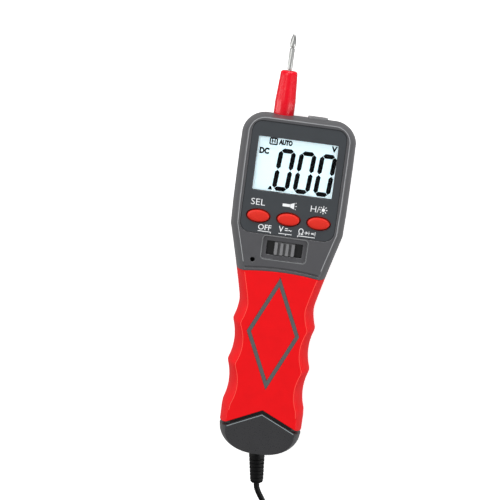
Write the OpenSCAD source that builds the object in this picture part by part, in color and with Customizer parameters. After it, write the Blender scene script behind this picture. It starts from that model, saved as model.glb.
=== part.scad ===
// Pen multimeter, lying on its back on the surface z = 0.
// +X is to the right of the display, +Y runs to the probe's tip, and +Z comes out of the display.
// Lengths along the case are measured from its tail, and at_origin() centres the whole length.

/* [Case] */
// Length of the case from its tail to its top
case_l = 171.4; // [171:0.2:174]
// Thickness of the case
case_t = 30; // [29.5:0.1:31]
// Height of the parting plane between front and rear
split_z = 15; // [14.8:0.1:15.2]
// Width of the head
head_w = 57.5; // [57:0.5:60]
// Plan radius of the head's top corners
head_r = 11.5; // [10:0.5:12.5]
// Length of the head's straight sides, with their corners
shoulder_drop = 55.8; // [54.6:0.2:57.2]
// Length of the head, to the middle of the arc where it meets the grip
head_l = 77.3; // [77:0.1:77.8]
// Radius of that arc
head_edge_r = 133; // [120:1:150]
// Wall of the hard case
wall_t = 2.4; // [2.2:0.1:2.6]
// Thickness of the soft overmould and of the tail cap
skin_t = 2; // [1.8:0.1:2.1]
// How far the edge of the face lies inside the rim at the head
face_inset = 3.1; // [2.8:0.1:3.3]
// How far the edge of the face lies inside the rim at both ends
end_inset = 1; // [0.8:0.1:1.2]
// How far the edge of the back lies inside the rim
back_inset = 3.5; // [3:0.1:3.6]

/* [Grip] */
// Width of the grip over its ridges, at the rim
grip_w = 42; // [41.5:0.1:43]
// Depth of the finger grooves at the rim
groove_d = 2.1; // [1.6:0.1:2.3]
// Width of the grip's face over its ridges
grip_face_w = 34.8; // [34:0.1:36]
// Depth of the finger grooves at the face
groove_face_d = 2.6; // [2:0.1:2.8]
// Place of the lowest ridge
ridge_y = 23.8; // [23:0.1:24.5]
// Distance from ridge to ridge
ridge_pitch = 21.2; // [20.8:0.1:21.6]
// Half width of the diamond inlay
diamond_x = 13.2; // [11:0.1:13.4]
// Distance from the head to the diamond inlay
diamond_high_gap = 3.5; // [3:0.1:4.5]
// Distance from the tail cap to the diamond inlay
diamond_low_gap = 12.2; // [11.5:0.1:14]
// Width of the diamond's rib
diamond_rib = 1.9; // [1.4:0.1:2.4]
// Depth of the diamond inlay in the soft overmould
inlay_t = 1.2; // [0.8:0.1:1.4]

/* [Tail] */
// Width of the tail at the rim
tail_w = 41.6; // [41:0.1:42]
// Length of the tail's rounded end at the rim
tail_h = 14; // [13:0.1:15]
// Width of the tail at the face
tail_face_w = 35.2; // [34.5:0.1:36]
// Point of the tail cap's chevron
chevron_y = 21.8; // [20.5:0.1:22]
// Fall of the chevron for each millimetre sideways
chevron_share = 0.463; // [0.4:0.01:0.5]
// Band of bare case between the tail cap and the grip
chevron_gap = 1.8; // [1:0.1:2]

/* [Display] */
// Bare face on each side of the dark panel
panel_side = 5.25; // [5:0.05:5.5]
// Bare face above the dark panel
panel_top = 3.2; // [3:0.1:3.4]
// Bare face between the dark panel and the slide switch
panel_low_gap = 1; // [0.8:0.1:1.4]
// Corner radius of the dark panel
panel_r = 5; // [3:0.5:6]
// Panel on each side of the window
window_side = 3.4; // [3.3:0.1:4]
// Panel above the window
window_top = 7.5; // [7.3:0.1:7.8]
// Height of the window
window_h = 27.2; // [26:0.1:27.4]

/* [Buttons] */
// Width of an oval button
button_w = 11; // [9:0.1:11.2]
// Height of an oval button
button_h = 5.8; // [5:0.1:6]
// Distance from button to button
button_pitch = 15.1; // [14.9:0.1:15.3]
// Distance from the top of the case to the row of buttons
button_drop = 50.5; // [50.3:0.1:50.8]
// Travel of a button
button_travel = 0.7; // [0.4:0.1:0.7]

/* [Slide switch] */
// Distance from the top of the case to the slide switch
slide_drop = 65.7; // [65.5:0.1:65.9]
// Width of the sunken frame
frame_w = 22.2; // [21.5:0.1:23]
// Height of the sunken frame
frame_h = 11.4; // [11:0.1:11.6]
// Length of the slot
slot_w = 18; // [17.8:0.1:18.2]
// Height of the slot
slot_h = 6.9; // [6.7:0.1:7.1]
// Width of the knob
knob_w = 10.2; // [10:0.1:10.3]
// Travel of the knob to each side
knob_travel = 3.75; // [3.5:0.05:3.75]

/* [Probe] */
// Distance from the left side of the head to the probe
probe_in = 19.55; // [19.15:0.1:19.95]
// Reach of the probe out of the head
probe_out = 40.6; // [38:0.1:44]
// Reach of the red sleeve out of the head
sleeve_out = 21.9; // [20:0.1:24]
// Diameter of the red sleeve
sleeve_d = 10.2; // [9.6:0.1:10.4]
// Diameter of the sleeve's end
sleeve_end_d = 7.5; // [6.5:0.1:8]
// Diameter of the metal rod
rod_d = 2.6; // [2.2:0.1:2.8]

/* [Cells] */
// Diameter of an AAA cell
cell_d = 10.5; // [10:0.1:10.6]
// Length of an AAA cell with its button
cell_l = 44.5; // [44:0.1:44.6]
// Width of the battery door
door_w = 24.4; // [24:0.1:24.6]
// Lower end of the battery door
door_y = 26.2; // [26:0.1:26.4]
// Hinge end of the battery door
hinge_y = 88; // [87.8:0.1:88.2]

/* [Lead] */
// Diameter of the test lead
lead_d = 2.9; // [2.6:0.1:2.9]
// Widest radius of the coil
coil_r = 23.6; // [23:0.1:24]
// Step from loop to loop and from layer to layer
coil_step = 3.4; // [3.35:0.05:3.5]
// Whole loops of the coil
coil_turns = 7; // [5:1:7]
// Length of the far probe's handle
handle_l = 82; // [76:1:86]

/* [Hidden] */
total_l = case_l + probe_out;
shoulder_y = case_l - shoulder_drop;
head_edge_y = case_l - head_l;
diamond_y = (head_edge_y - diamond_high_gap - chevron_y - diamond_low_gap) / 2;
diamond_mid = chevron_y + diamond_low_gap + diamond_y;
button_y = case_l - button_drop;
slide_y = case_l - slide_drop;
panel_w = head_w - 2 * panel_side;
panel_low_y = slide_y + frame_h / 2 + panel_low_gap;
panel_h = case_l - panel_top - panel_low_y;
panel_y = panel_low_y + panel_h / 2;
window_w = panel_w - 2 * window_side;
window_y = case_l - panel_top - window_top - window_h / 2;
probe_x = probe_in - head_w / 2;
over = 1;
skin_gap = 0.05;
fit_gap = 0.25;
seat_gap = 0.02;
$fn = 48;

case_grey = "#5a5a5c";
cap_grey = "#3b3b3d";
panel_grey = "#3c4044";
grip_red = "#e81c20";
steel = "#c8c8c8";
lead_black = "#161616";

function lerp(a, b, t) = a + (b - a) * t;
function unit(v) = v / norm(v);

module at_origin() {
    translate([0, -total_l / 2, 0]) children();
}

// Moves every point of a closed path, drawn anticlockwise, inward by d.
function inset(path, d) = [
    for (i = [0:len(path) - 1])
        let (
            a = path[(i + len(path) - 1) % len(path)],
            b = path[i],
            c = path[(i + 1) % len(path)],
            u = unit(b - a),
            v = unit(c - b),
            n = unit([-u.y - v.y, u.x + v.x])
        )
        b + n * d / (n.y * u.x - n.x * u.y)
];

// Rectangle with round corners, about its middle.
function round_rect(w, h, r, steps = 6) = [
    for (q = [0:3])
        for (i = [0:steps])
            let (a = 90 * (q + i / steps), sx = q == 0 || q == 3 ? 1 : -1, sy = q < 2 ? 1 : -1)
            [sx * (w / 2 - r) + r * cos(a), sy * (h / 2 - r) + r * sin(a)]
];

function oval(w, h, steps = 40) = [
    for (i = [0:steps - 1])
        [w / 2 * cos(360 * i / steps), h / 2 * sin(360 * i / steps)]
];

// Solid through mirrored rings of equal length, from the lowest ring up, each drawn anticlockwise.
// Each ring starts at its middle point, so that its ends close in strips from side to side.
module loft(rings) {
    n = len(rings[0]);
    m = len(rings);
    half = (n - 1) / 2;
    strips = concat(
        [[0, n - 1, 1]],
        [for (i = [1:half - 1]) each [[i, n - i, i + 1], [i + 1, n - i, n - i - 1]]]
    );
    sides = [
        for (k = [0:m - 2])
            for (i = [0:n - 1])
                let (a = k * n + i, b = k * n + (i + 1) % n)
                each [[a, a + n, b], [b, a + n, b + n]]
    ];
    top = (m - 1) * n;
    high = [for (f = strips) [top + f[0], top + f[2], top + f[1]]];
    polyhedron([for (r = rings) each r], concat(strips, sides, high), convexity = 8);
}

// Tube through points, with its ends square to the path.
function path_dir(p, i) = unit(p[min(i + 1, len(p) - 1)] - p[max(i - 1, 0)]);
function side_of(t, hint) = unit(hint - t * (hint * t));
function tube_rings(p, r, sides, up = [0, 0, 1]) = [
    for (i = [0:len(p) - 1])
        let (t = path_dir(p, i), s = side_of(t, up), q = cross(t, s))
        [for (k = [0:sides - 1]) p[i] + r * (cos(360 * k / sides) * s + sin(360 * k / sides) * q)]
];

module tube(p, r, sides, up = [0, 0, 1]) {
    n = sides;
    rings = tube_rings(p, r, sides, up);
    m = len(rings);
    walls = [
        for (k = [0:m - 2])
            for (i = [0:n - 1])
                let (a = k * n + i, b = k * n + (i + 1) % n)
                each [[a, a + n, b], [b, a + n, b + n]]
    ];
    first = [for (i = [1:n - 2]) [0, i, i + 1]];
    last = [for (i = [1:n - 2]) [(m - 1) * n, (m - 1) * n + i + 1, (m - 1) * n + i]];
    polyhedron([for (r = rings) each r], concat(first, walls, last), convexity = 8);
}

// The case's outlines: the rim at the parting plane, and the edges of the face and of the back.
tail_steps = 6;
groove_steps = 4;
flare_steps = 4;
corner_steps = 5;
tail_power = 0.8;
flare_power = 1.08;
groove_n = 3;
valley_y = ridge_y + (groove_n - 1 / 2) * ridge_pitch;

function half_outline(end_y, w_tail, h_tail, w_grip, d_groove, y_flare, w_head, r_corner, top_y) = concat(
    [for (i = [0:tail_steps])
        let (a = 90 * (1 - i / tail_steps))
        [w_tail / 2 * pow(cos(a), tail_power), end_y + h_tail * (1 - pow(sin(a), tail_power))]],
    [for (i = [0:(groove_n - 1 / 2) * groove_steps])
        let (t = i / groove_steps - floor(i / groove_steps))
        [w_grip / 2 - d_groove * 4 * t * (1 - t), ridge_y + ridge_pitch * i / groove_steps]],
    [for (i = [1:flare_steps])
        let (t = i / flare_steps)
        [lerp(w_grip / 2 - d_groove, w_head / 2, pow(t, flare_power)), lerp(valley_y, y_flare, t)]],
    [for (i = [0:corner_steps])
        let (a = 90 * i / corner_steps)
        [w_head / 2 - r_corner + r_corner * cos(a), top_y - r_corner + r_corner * sin(a)]]
);
function whole(half) = concat(half, [for (i = [len(half) - 1:-1:1]) [-half[i].x, half[i].y]]);

rim_path = whole(half_outline(0, tail_w, tail_h, grip_w, groove_d, shoulder_y, head_w, head_r, case_l));
face_path = whole(half_outline(end_inset, tail_face_w, tail_h - end_inset, grip_face_w, groove_face_d,
    shoulder_y + face_inset - end_inset, head_w - 2 * face_inset, head_r - face_inset, case_l - end_inset));
back_path = inset(rim_path, back_inset);

// The side swells from the rim to the edge of the face: shares of the inset and of the height.
side_steps = 4;
bulge_in_share = 0.12;
bulge_up_share = 0.62;
function side_in(t) = 2 * t * (1 - t) * bulge_in_share + t * t;
function side_up(t) = 2 * t * (1 - t) * bulge_up_share + t * t;

function ring(rim, edge, t, z_edge) = [
    for (i = [0:len(rim) - 1])
        let (p = lerp(rim[i], edge[i], side_in(t)))
        [p.x, p.y, lerp(split_z, z_edge, side_up(t))]
];
function shifted(r, dz) = [for (p = r) [p.x, p.y, p.z + dz]];
function front_rings(d) = [for (i = [0:side_steps])
    ring(inset(rim_path, d), inset(face_path, d), i / side_steps, case_t - d)];
function back_rings(d) = [for (i = [side_steps:-1:0])
    ring(inset(rim_path, d), inset(back_path, d), i / side_steps, d)];

// The case's form drawn in by d: its front half, its rear half, or both.
// A cutter runs past the parting plane.
module front_form(d) {
    loft(front_rings(d));
}
module back_form(d) {
    loft(back_rings(d));
}
module front_cutter(d) {
    r = front_rings(d);
    loft(concat([shifted(r[0], -over)], r));
}
module back_cutter(d) {
    r = back_rings(d);
    loft(concat(r, [shifted(r[len(r) - 1], over)]));
}
module whole_form(d) {
    r = front_rings(d);
    loft(concat(back_rings(d), [for (i = [1:len(r) - 1]) r[i]]));
}

// Plan zones, each a prism through the case.
// The head lies beyond the arc, and the grip between the arc and the chevron.
reach = case_l + case_t;
module through() {
    translate([0, 0, -over]) linear_extrude(case_t + 2 * over) children();
}
module head_zone(dy) {
    through() difference() {
        translate([-reach / 2, 0]) square(reach);
        translate([0, head_edge_y - head_edge_r]) circle(head_edge_r + dy, $fn = 180);
    }
}
function chevron_at(x, dy) = chevron_y + dy - abs(x) * chevron_share;
module cap_zone() {
    w = head_w / 2;
    through() polygon([[-w, -w], [w, -w], [w, chevron_at(w, 0)], [0, chevron_y], [-w, chevron_at(w, 0)]]);
}
module grip_zone() {
    w = head_w / 2;
    low = chevron_at(w, chevron_gap);
    through() intersection() {
        translate([0, head_edge_y - head_edge_r]) circle(head_edge_r - skin_gap, $fn = 180);
        polygon([[-w, low], [0, chevron_y + chevron_gap], [w, low], [w, case_l], [-w, case_l]]);
    }
}

// Heights and places that several pieces share
inner_z = case_t - wall_t;
board_t = 1.6;
board_drop = 6;
board_z = inner_z - board_drop;
head_lip = wall_t;
panel_recess = 0.9;
panel_t = 0.6;
panel_floor = case_t - panel_recess;
lens_t = 0.8;
lens_rim = 1.2;
button_x = [-button_pitch, 0, button_pitch];
top_in_y = case_l - wall_t;

// Bosses and screws: two below the top corners and two below the buttons
screw_d = 2;
screw_head_d = 3.8;
screw_head_t = 1.6;
screw_l = 14;
screw_gap = 0.2;
sink_z = 9;
boss_r = 2.4;
stand_r = 3.6;
rear_boss_r = 3;
top_boss_in = 9.75;
top_boss_down = 6.4;
low_boss_in = 8.75;
low_boss_drop = 7.6;
boss_places = [
    [head_w / 2 - top_boss_in, case_l - top_boss_down],
    [head_w / 2 - low_boss_in, button_y - low_boss_drop]
];
module at_bosses(kinds = [0, 1]) {
    for (i = kinds, s = [-1, 1]) translate([s * boss_places[i].x, boss_places[i].y]) children();
}

// The sleeve with its collar inside the head, and the rod
sleeve_straight = 5.1;
sleeve_in = 7.4;
collar_d = 12.4;
collar_t = 2;
collar_in = 1;
sleeve_round = 1.4;
rod_gap = 0.05;
rod_seat = 0.3;
thin_r = rod_d / 2 - rod_seat;
rod_in = 15.4;
module along_probe(y = 0) {
    translate([probe_x, y, split_z]) rotate([-90, 0, 0]) children();
}

// The torch's bezel in the top wall, over the parting plane, and its lamp
bezel_x = 8.1;
bezel_w = 10;
bezel_h = 7;
bezel_out = 0.75;
bezel_l = 4.1;
bezel_r = 1.5;
lamp_d = 5;
lamp_out = 0.2;
lamp_l = 7.6;
lamp_base_d = 5.8;
lamp_base_t = 1;
lamp_leg_d = 0.5;
lamp_leg_x = 1.27;
lamp_leg_l = 3;

// Openings of the front
panel_gap = 0.2;
button_gap = 0.4;
frame_depth = 1;
frame_r = 1.6;
sound_drop = 6.9;
sound_d = 2.2;
sound_hole = [-button_pitch, slide_y - sound_drop];
band_up = 1.4;
band_w = 0.7;
band_depth = 0.6;

// The strain relief, with a flange inside the case
neck_d = 6;
neck_gap = 0.1;
flange_d = 8;
flange_t = 1.6;
flange_in = 0.75;
relief_d = 7.5;
relief_end_d = 6.2;
relief_tip = [2, -16.5, 13];
relief_root = [0, 0, split_z];
relief_run = relief_tip - relief_root;
relief_yaw = atan2(relief_run.x, -relief_run.y);
relief_droop = atan2(-relief_run.z, norm([relief_run.x, relief_run.y]));
core_wall_in = skin_t + wall_t;

// Battery bay in the rear case, its door and its contacts
bay_gap = 0.45;
bay_wall = 1.2;
bay_floor = 2.6;
cell_split = 0.35;
cell_x = cell_d / 2 + cell_split;
cell_z = bay_floor + cell_d / 2;
bay_half = cell_x + cell_d / 2 + bay_gap;
roof_t = 1.2;
roof_gap = 0.6;
bay_roof = cell_z + cell_d / 2 + roof_gap;
bay_top = bay_roof + roof_t;
door_screw_in = 3.8;
door_boss_r = 2.8;
bay_low = door_y + door_screw_in + door_boss_r + bay_wall;
spring_l = 5.5;
plate_t = 0.4;
bay_high = bay_low + plate_t + spring_l + cell_l + plate_t + fit_gap;
door_t = 2;
door_lift = 0.2;
door_gap = 0.25;
door_rim = 1.6;
trunnion_r = 0.6;
trunnion_l = 1;
trunnion_gap = 0.05;
axle_y = hinge_y - door_t / 2;
axle_z = door_lift + door_t / 2;
door_in = door_lift + door_t;
door_screw_d = 2.2;
door_screw_room = 0.7;
door_screw_l = 3;
door_boss_h = 6;
strap_w = 2;
strap_over = 1.5;
rim_x = door_w / 2 + door_gap + door_rim;
rim_low = door_y - door_gap - door_rim;
rim_high = hinge_y + door_gap + door_rim;

// The board, from its lower edge to its upper edge, and what it carries
board_low_gap = 4.1;
board_low_y = head_edge_y - board_low_gap;
board_in = 5.75;
board_half = head_w / 2 - board_in;
waist_in = 9.35;
board_waist = head_w / 2 - waist_in;
board_neck_in = 13.75;
board_neck = head_w / 2 - board_neck_in;
notch_over = 0.4;
board_notch = boss_places[1].x + notch_over;
board_down = 9.2;
board_high_y = case_l - board_down;
tact_w = 6;
tact_t = 3.5;
plunger_d = 3.5;
plunger_l = 2.7;
plunger_up = 0.8;
plunger_gap = 0.1;
well_floor = 0.8;
plunger_low = board_z + tact_t + plunger_up - plunger_l;
stem_d = 4;
flange_grow = 1.3;
flange_gap = 0.3;
button_flange_t = 1.1;
button_up = 0.6;
button_flange_z = inner_z - flange_gap - button_flange_t;
knob_flange_t = 1;
knob_flange_z = inner_z - flange_gap - knob_flange_t;
knob_cover = 0.45;
knob_flange_w = slot_w + 2 * (knob_travel + knob_cover);
knob_flange_h = 9.2;
knob_side_gap = 0.2;
knob_up = 0.6;
knob_h = slot_h - 2 * knob_side_gap;
post_w = 2;
post_gap = 0.1;
prong_w = 1.5;
prong_h = 4;
prong_l = 0.6;
body_w = 18;
body_h = 8;
body_l = 3.8;
body_floor = 1;
slot_room = 0.2;

// The coil: start angle, middle, and the climb from the lower layer to the upper one
lead_r = lead_d / 2;
coil_mid = [-2, -58];
coil_from = 30;
coil_loops = coil_turns + coil_from / 360;
coil_climb = 0.5;
coil_dip = 0.8;
tie_t = 0.8;
tie_gap = 0.3;
tie_w = 6;
coil_z = tie_t + tie_gap + lead_r;
coil_turn = (coil_loops - coil_climb) / 2;
coil_in_r = coil_r - coil_step * coil_turn;
loop_rings = 24;
function coil_radius(s) =
    s < coil_turn ? coil_r - coil_step * s :
    s > coil_turn + coil_climb ? coil_r - coil_step * (coil_loops - s) :
    coil_in_r - coil_dip * sin(180 * (s - coil_turn) / coil_climb);
function climb_share(s) = min(max((s - coil_turn) / coil_climb, 0), 1);
function coil_height(s) = coil_z + coil_step * climb_share(s) * climb_share(s) * (3 - 2 * climb_share(s));
function coil_point(s) = let (a = coil_from - 360 * s, r = coil_radius(s))
    [coil_mid.x + r * cos(a), coil_mid.y + r * sin(a), coil_height(s)];
function coil_way(s) = let (a = coil_from - 360 * s) [sin(a), -cos(a), 0];
coil_rings = round(coil_loops * loop_rings);
coil_wound = [for (i = [0:coil_rings]) coil_point(coil_loops * i / coil_rings)];
coil_enter = coil_wound[0] - lead_d * coil_way(0);
coil_leave = coil_wound[coil_rings] + lead_d * coil_way(coil_loops);
coil_path = concat([coil_enter], coil_wound, [coil_leave]);

// Least gap of a wound tube to itself, over points that lie more than apart rings from each other
function least_gap(p, apart, d) = min([
    for (i = [0:len(p) - 1])
        for (j = [i + apart:1:len(p) - 1])
            norm(p[i] - p[j])
]) - d;

// The far probe lies on the surface on its guard and its rear end
probe_relief_l = 14;
far_tip_l = 18;
guard_r = 7.5;
guard_y = 62;
handle_r = 4.8;
far_rod_r = 1;
far_rod_in = 20;
far_yaw = -4;
far_lift = 0.05;
far_tilt = atan((guard_r - handle_r) / guard_y);
far_start = [24, -82, far_lift + handle_r - probe_relief_l * sin(far_tilt)];
far_way = [sin(far_yaw) * cos(far_tilt), -cos(far_yaw) * cos(far_tilt), sin(far_tilt)];
module at_far_probe(l = 0) {
    translate(far_start) rotate([90 - far_tilt, 0, far_yaw]) translate([0, 0, l]) children();
}

run_path = [
    relief_tip, [2.35, -19.4, 12.65], [3.6, -22.2, 12], [5.3, -25, 10.9], [7.1, -28, 9.5], [8.9, -31.1, 7.8],
    [10.7, -34.2, 5.9], [12.4, -37.1, 4.2], [14, -39.1, 3], coil_enter - lead_d * coil_way(0), coil_enter
];
end_path = [
    coil_leave, coil_leave + lead_d * coil_way(coil_loops), [21.9, -66.6, 5.7], [22.6, -70, 5.2],
    [23.4, -73.2, 4.8], [23.9, -76.2, 4.4], far_start - lead_d * far_way, far_start
];
inner_path = [
    [0, core_wall_in + flange_in + flange_t, split_z], [0, 9, 15], [0, 13, 16], [0, 18, 17.1], [0, 24, 17.4],
    [0, 84, 17.4], [0, 88, 18], [0, 92, 18.5], [0, 96, 18.5]
];

module spring_places() {
    translate([-cell_x, bay_low + plate_t, cell_z]) rotate([-90, 0, 0]) children();
    translate([cell_x, bay_high - plate_t, cell_z]) rotate([90, 0, 0]) children();
}
spring_wire = 0.5;
spring_d = 7;
spring_end_d = 4.6;
spring_curls = 5;
curl_rings = 8;
spring_path = [
    for (i = [0:spring_curls * curl_rings])
        let (
            t = i / (spring_curls * curl_rings),
            a = 360 * spring_curls * t,
            r = (lerp(spring_d, spring_end_d, t) - spring_wire) / 2
        )
        [r * cos(a), r * sin(a), spring_wire / 2 + seat_gap + t * (spring_l - spring_wire - 2 * seat_gap)]
];

// Pieces of the case
module window_cut(grow, low, high) {
    translate([0, window_y, low])
        linear_extrude(high - low) square([window_w + 2 * grow, window_h + 2 * grow], center = true);
}

module front_openings() {
    translate([0, panel_y, panel_floor])
        linear_extrude(case_t)
            polygon(round_rect(panel_w + 2 * panel_gap, panel_h + 2 * panel_gap, panel_r));
    window_cut(lens_rim + skin_gap, panel_floor - lens_t, panel_floor + over);
    window_cut(panel_gap, 0, case_t);
    for (x = button_x)
        translate([x, button_y, split_z])
            linear_extrude(case_t) polygon(oval(button_w + 2 * button_gap, button_h + 2 * button_gap));
    translate([0, slide_y, case_t - frame_depth])
        linear_extrude(case_t) polygon(round_rect(frame_w, frame_h, frame_r));
    translate([0, slide_y, split_z]) linear_extrude(case_t) square([slot_w, slot_h], center = true);
    translate([sound_hole.x, sound_hole.y, split_z]) cylinder(h = case_t, d = sound_d);
    translate([0, head_edge_y - head_edge_r, case_t - band_depth])
        linear_extrude(case_t)
            intersection() {
                difference() {
                    circle(head_edge_r + band_up + band_w, $fn = 180);
                    circle(head_edge_r + band_up, $fn = 180);
                }
                translate([-head_w / 2, 0]) square([head_w, reach]);
            }
}

// Holes through both halves at the parting plane
module end_holes() {
    along_probe(top_in_y - over) cylinder(h = wall_t + 2 * over, d = sleeve_d + 2 * skin_gap);
    translate([bezel_x, case_l - wall_t - over, split_z])
        rotate([-90, 0, 0])
            linear_extrude(wall_t + 2 * over)
                polygon(round_rect(bezel_w + 2 * skin_gap, bezel_h + 2 * skin_gap, bezel_r));
    translate([0, skin_t - over, split_z]) rotate([-90, 0, 0])
        cylinder(h = wall_t + 2 * over, d = neck_d + 2 * neck_gap);
}

module front_case() {
    color(case_grey) at_origin() difference() {
        union() {
            difference() {
                union() {
                    intersection() {
                        front_form(0);
                        head_zone(0);
                    }
                    front_form(skin_t);
                }
                front_cutter(core_wall_in);
                intersection() {
                    front_cutter(wall_t);
                    head_zone(head_lip);
                }
            }
            at_bosses() translate([0, 0, split_z]) cylinder(h = inner_z - split_z + seat_gap, r = boss_r);
            at_bosses([1]) translate([0, 0, board_z])
                cylinder(h = inner_z - board_z + seat_gap, r = stand_r);
        }
        front_openings();
        end_holes();
        at_bosses() translate([0, 0, split_z - over])
            cylinder(h = screw_l - split_z + sink_z + 2 * over, d = screw_d + 2 * seat_gap);
    }
}

module rear_case() {
    color(case_grey) at_origin() difference() {
        union() {
            difference() {
                union() {
                    intersection() {
                        back_form(0);
                        head_zone(0);
                    }
                    back_form(skin_t);
                }
                back_cutter(core_wall_in);
                intersection() {
                    back_cutter(wall_t);
                    head_zone(head_lip);
                }
            }
            translate([-rim_x, rim_low, 0]) cube([2 * rim_x, rim_high - rim_low, core_wall_in - seat_gap]);
            translate([-bay_half - bay_wall, bay_low - bay_wall, bay_floor])
                cube([2 * (bay_half + bay_wall), bay_high - bay_low + 2 * bay_wall, bay_top - bay_floor]);
            translate([0, door_y + door_screw_in, bay_floor]) cylinder(h = door_boss_h, r = door_boss_r);
            intersection() {
                at_bosses() cylinder(h = split_z, r = rear_boss_r);
                back_form(seat_gap);
            }
        }
        translate([-bay_half, bay_low, -over])
            cube([2 * bay_half, bay_high - bay_low, bay_roof + over]);
        translate([-door_w / 2 - door_gap, door_y - door_gap, -over])
            cube([door_w + 2 * door_gap, hinge_y - door_y + 2 * door_gap, door_in + door_lift + over]);
        translate([0, axle_y, axle_z]) rotate([0, 90, 0])
            cylinder(h = door_w + 2 * (trunnion_l + door_gap), r = trunnion_r + trunnion_gap, center = true);
        for (s = [-1, 1])
            translate([s * cell_x - strap_w / 2 - fit_gap, bay_high - plate_t - fit_gap, bay_roof - over])
                cube([strap_w + 2 * fit_gap, plate_t + 2 * fit_gap, roof_t + 2 * over]);
        translate([0, door_y + door_screw_in, door_in])
            cylinder(h = door_boss_h - roof_t, d = door_screw_d + door_screw_room);
        at_bosses() translate([0, 0, -over]) cylinder(h = case_t, d = screw_d + 2 * screw_gap);
        at_bosses() translate([0, 0, -over]) cylinder(h = sink_z + over, d = screw_head_d + 2 * screw_gap);
        end_holes();
    }
}

module diamond(grow) {
    slant = norm([diamond_x, diamond_y]);
    outer_share = 1 + grow * slant / (diamond_x * diamond_y);
    inner_share = 1 - (diamond_rib + grow) * slant / (diamond_x * diamond_y);
    corners = [[-diamond_x, 0], [0, -diamond_y], [diamond_x, 0], [0, diamond_y]];
    translate([0, diamond_mid]) difference() {
        polygon(corners * outer_share);
        polygon(corners * inner_share);
    }
}

module front_grip() {
    color(grip_red) at_origin() difference() {
        intersection() {
            front_form(0);
            grip_zone();
        }
        front_cutter(skin_t - skin_gap);
        translate([0, 0, case_t - inlay_t]) linear_extrude(case_t) diamond(skin_gap);
    }
}

module rear_grip() {
    color(grip_red) at_origin() difference() {
        intersection() {
            back_form(0);
            grip_zone();
        }
        back_cutter(skin_t - skin_gap);
        translate([-rim_x - skin_gap, rim_low - skin_gap, -over])
            cube([2 * (rim_x + skin_gap), rim_high - rim_low + 2 * skin_gap, split_z]);
    }
}

module diamond_inlay() {
    color(case_grey) at_origin() translate([0, 0, case_t - inlay_t]) linear_extrude(inlay_t) diamond(0);
}

module tail_cap() {
    color(cap_grey) at_origin() difference() {
        intersection() {
            whole_form(0);
            cap_zone();
        }
        whole_form(skin_t - skin_gap);
        translate([0, -over, split_z]) rotate([-90, 0, 0])
            cylinder(h = skin_t + 2 * over, d = relief_d + 2 * neck_gap);
    }
}

module display_panel() {
    color(panel_grey) at_origin() translate([0, 0, panel_floor]) linear_extrude(panel_t) difference() {
        translate([0, panel_y]) polygon(round_rect(panel_w, panel_h, panel_r));
        translate([0, window_y]) square([window_w, window_h], center = true);
        for (x = button_x)
            translate([x, button_y]) polygon(oval(button_w + 2 * button_gap, button_h + 2 * button_gap));
    }
}

module display_window() {
    color("#e6f5fa") at_origin() window_cut(lens_rim, panel_floor - lens_t, panel_floor);
}

// Display module between the board and the face
glass_over = 1.6;
glass_w = window_w + 2 * glass_over;
glass_h = window_h + 2 * glass_over;
glass_t = 2.2;
lcd_wall = 1.1;
lcd_notch_r = 2.7;
block_side = 1;
block_end = 3.2;
block_w = glass_w - 2 * block_side;
block_h = glass_h - 2 * block_end;
block_t = 3.4;
zebra_t = 1.6;
zebra_side = 1.2;
zebra_w = glass_w - 2 * zebra_side;
glass_z = inner_z - seat_gap - glass_t;
zebra_in = 0.4;
zebra_y = glass_h / 2 - zebra_in - zebra_t / 2;
glass_drop = 0.1;
glass_y = window_y - glass_drop;

module lcd_glass() {
    color("#d9efe6") at_origin()
        translate([-glass_w / 2, glass_y - glass_h / 2, glass_z]) cube([glass_w, glass_h, glass_t]);
}

module zebra_places(grow) {
    for (s = [-1, 1])
        translate([-zebra_w / 2 - grow, glass_y + s * zebra_y - zebra_t / 2 - grow, board_z])
            cube([zebra_w + 2 * grow, zebra_t + 2 * grow, glass_z - board_z + (grow > 0 ? over : 0)]);
}

module lcd_frame() {
    color("#e8e8e4") at_origin() difference() {
        translate([-glass_w / 2 - lcd_wall, glass_y - glass_h / 2 - lcd_wall, board_z])
            cube([glass_w + 2 * lcd_wall, glass_h + 2 * lcd_wall, inner_z - board_z]);
        translate([-glass_w / 2 - skin_gap, glass_y - glass_h / 2 - skin_gap, glass_z])
            cube([glass_w + 2 * skin_gap, glass_h + 2 * skin_gap, case_t]);
        translate([-block_w / 2 - skin_gap, glass_y - block_h / 2 - skin_gap, 0])
            cube([block_w + 2 * skin_gap, block_h + 2 * skin_gap, case_t]);
        zebra_places(skin_gap);
        at_bosses([0]) cylinder(h = case_t, r = lcd_notch_r);
    }
}

module backlight_block() {
    color("#f4f6f8") at_origin()
        translate([-block_w / 2, glass_y - block_h / 2, board_z]) cube([block_w, block_h, block_t]);
}

module zebra_strips() {
    color("#d8b4b8") at_origin() zebra_places(0);
}

module main_board() {
    neck = [
        [board_neck, board_low_y],
        [board_neck, board_low_y + body_h],
        [board_waist, slide_y - body_h / 2]
    ];
    waist = [
        [board_notch, boss_places[1].y - stand_r],
        [board_notch, boss_places[1].y + stand_r]
    ];
    head = [[board_half, button_y], [board_half, board_high_y]];
    half = concat(neck, waist, head);
    path = concat(half, [for (i = [len(half) - 1:-1:0]) [-half[i].x, half[i].y]]);
    color("#1f6b3a") at_origin() translate([0, 0, board_z - board_t]) linear_extrude(board_t) difference() {
        polygon(path);
        at_bosses() circle(boss_r + fit_gap);
    }
}

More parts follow.
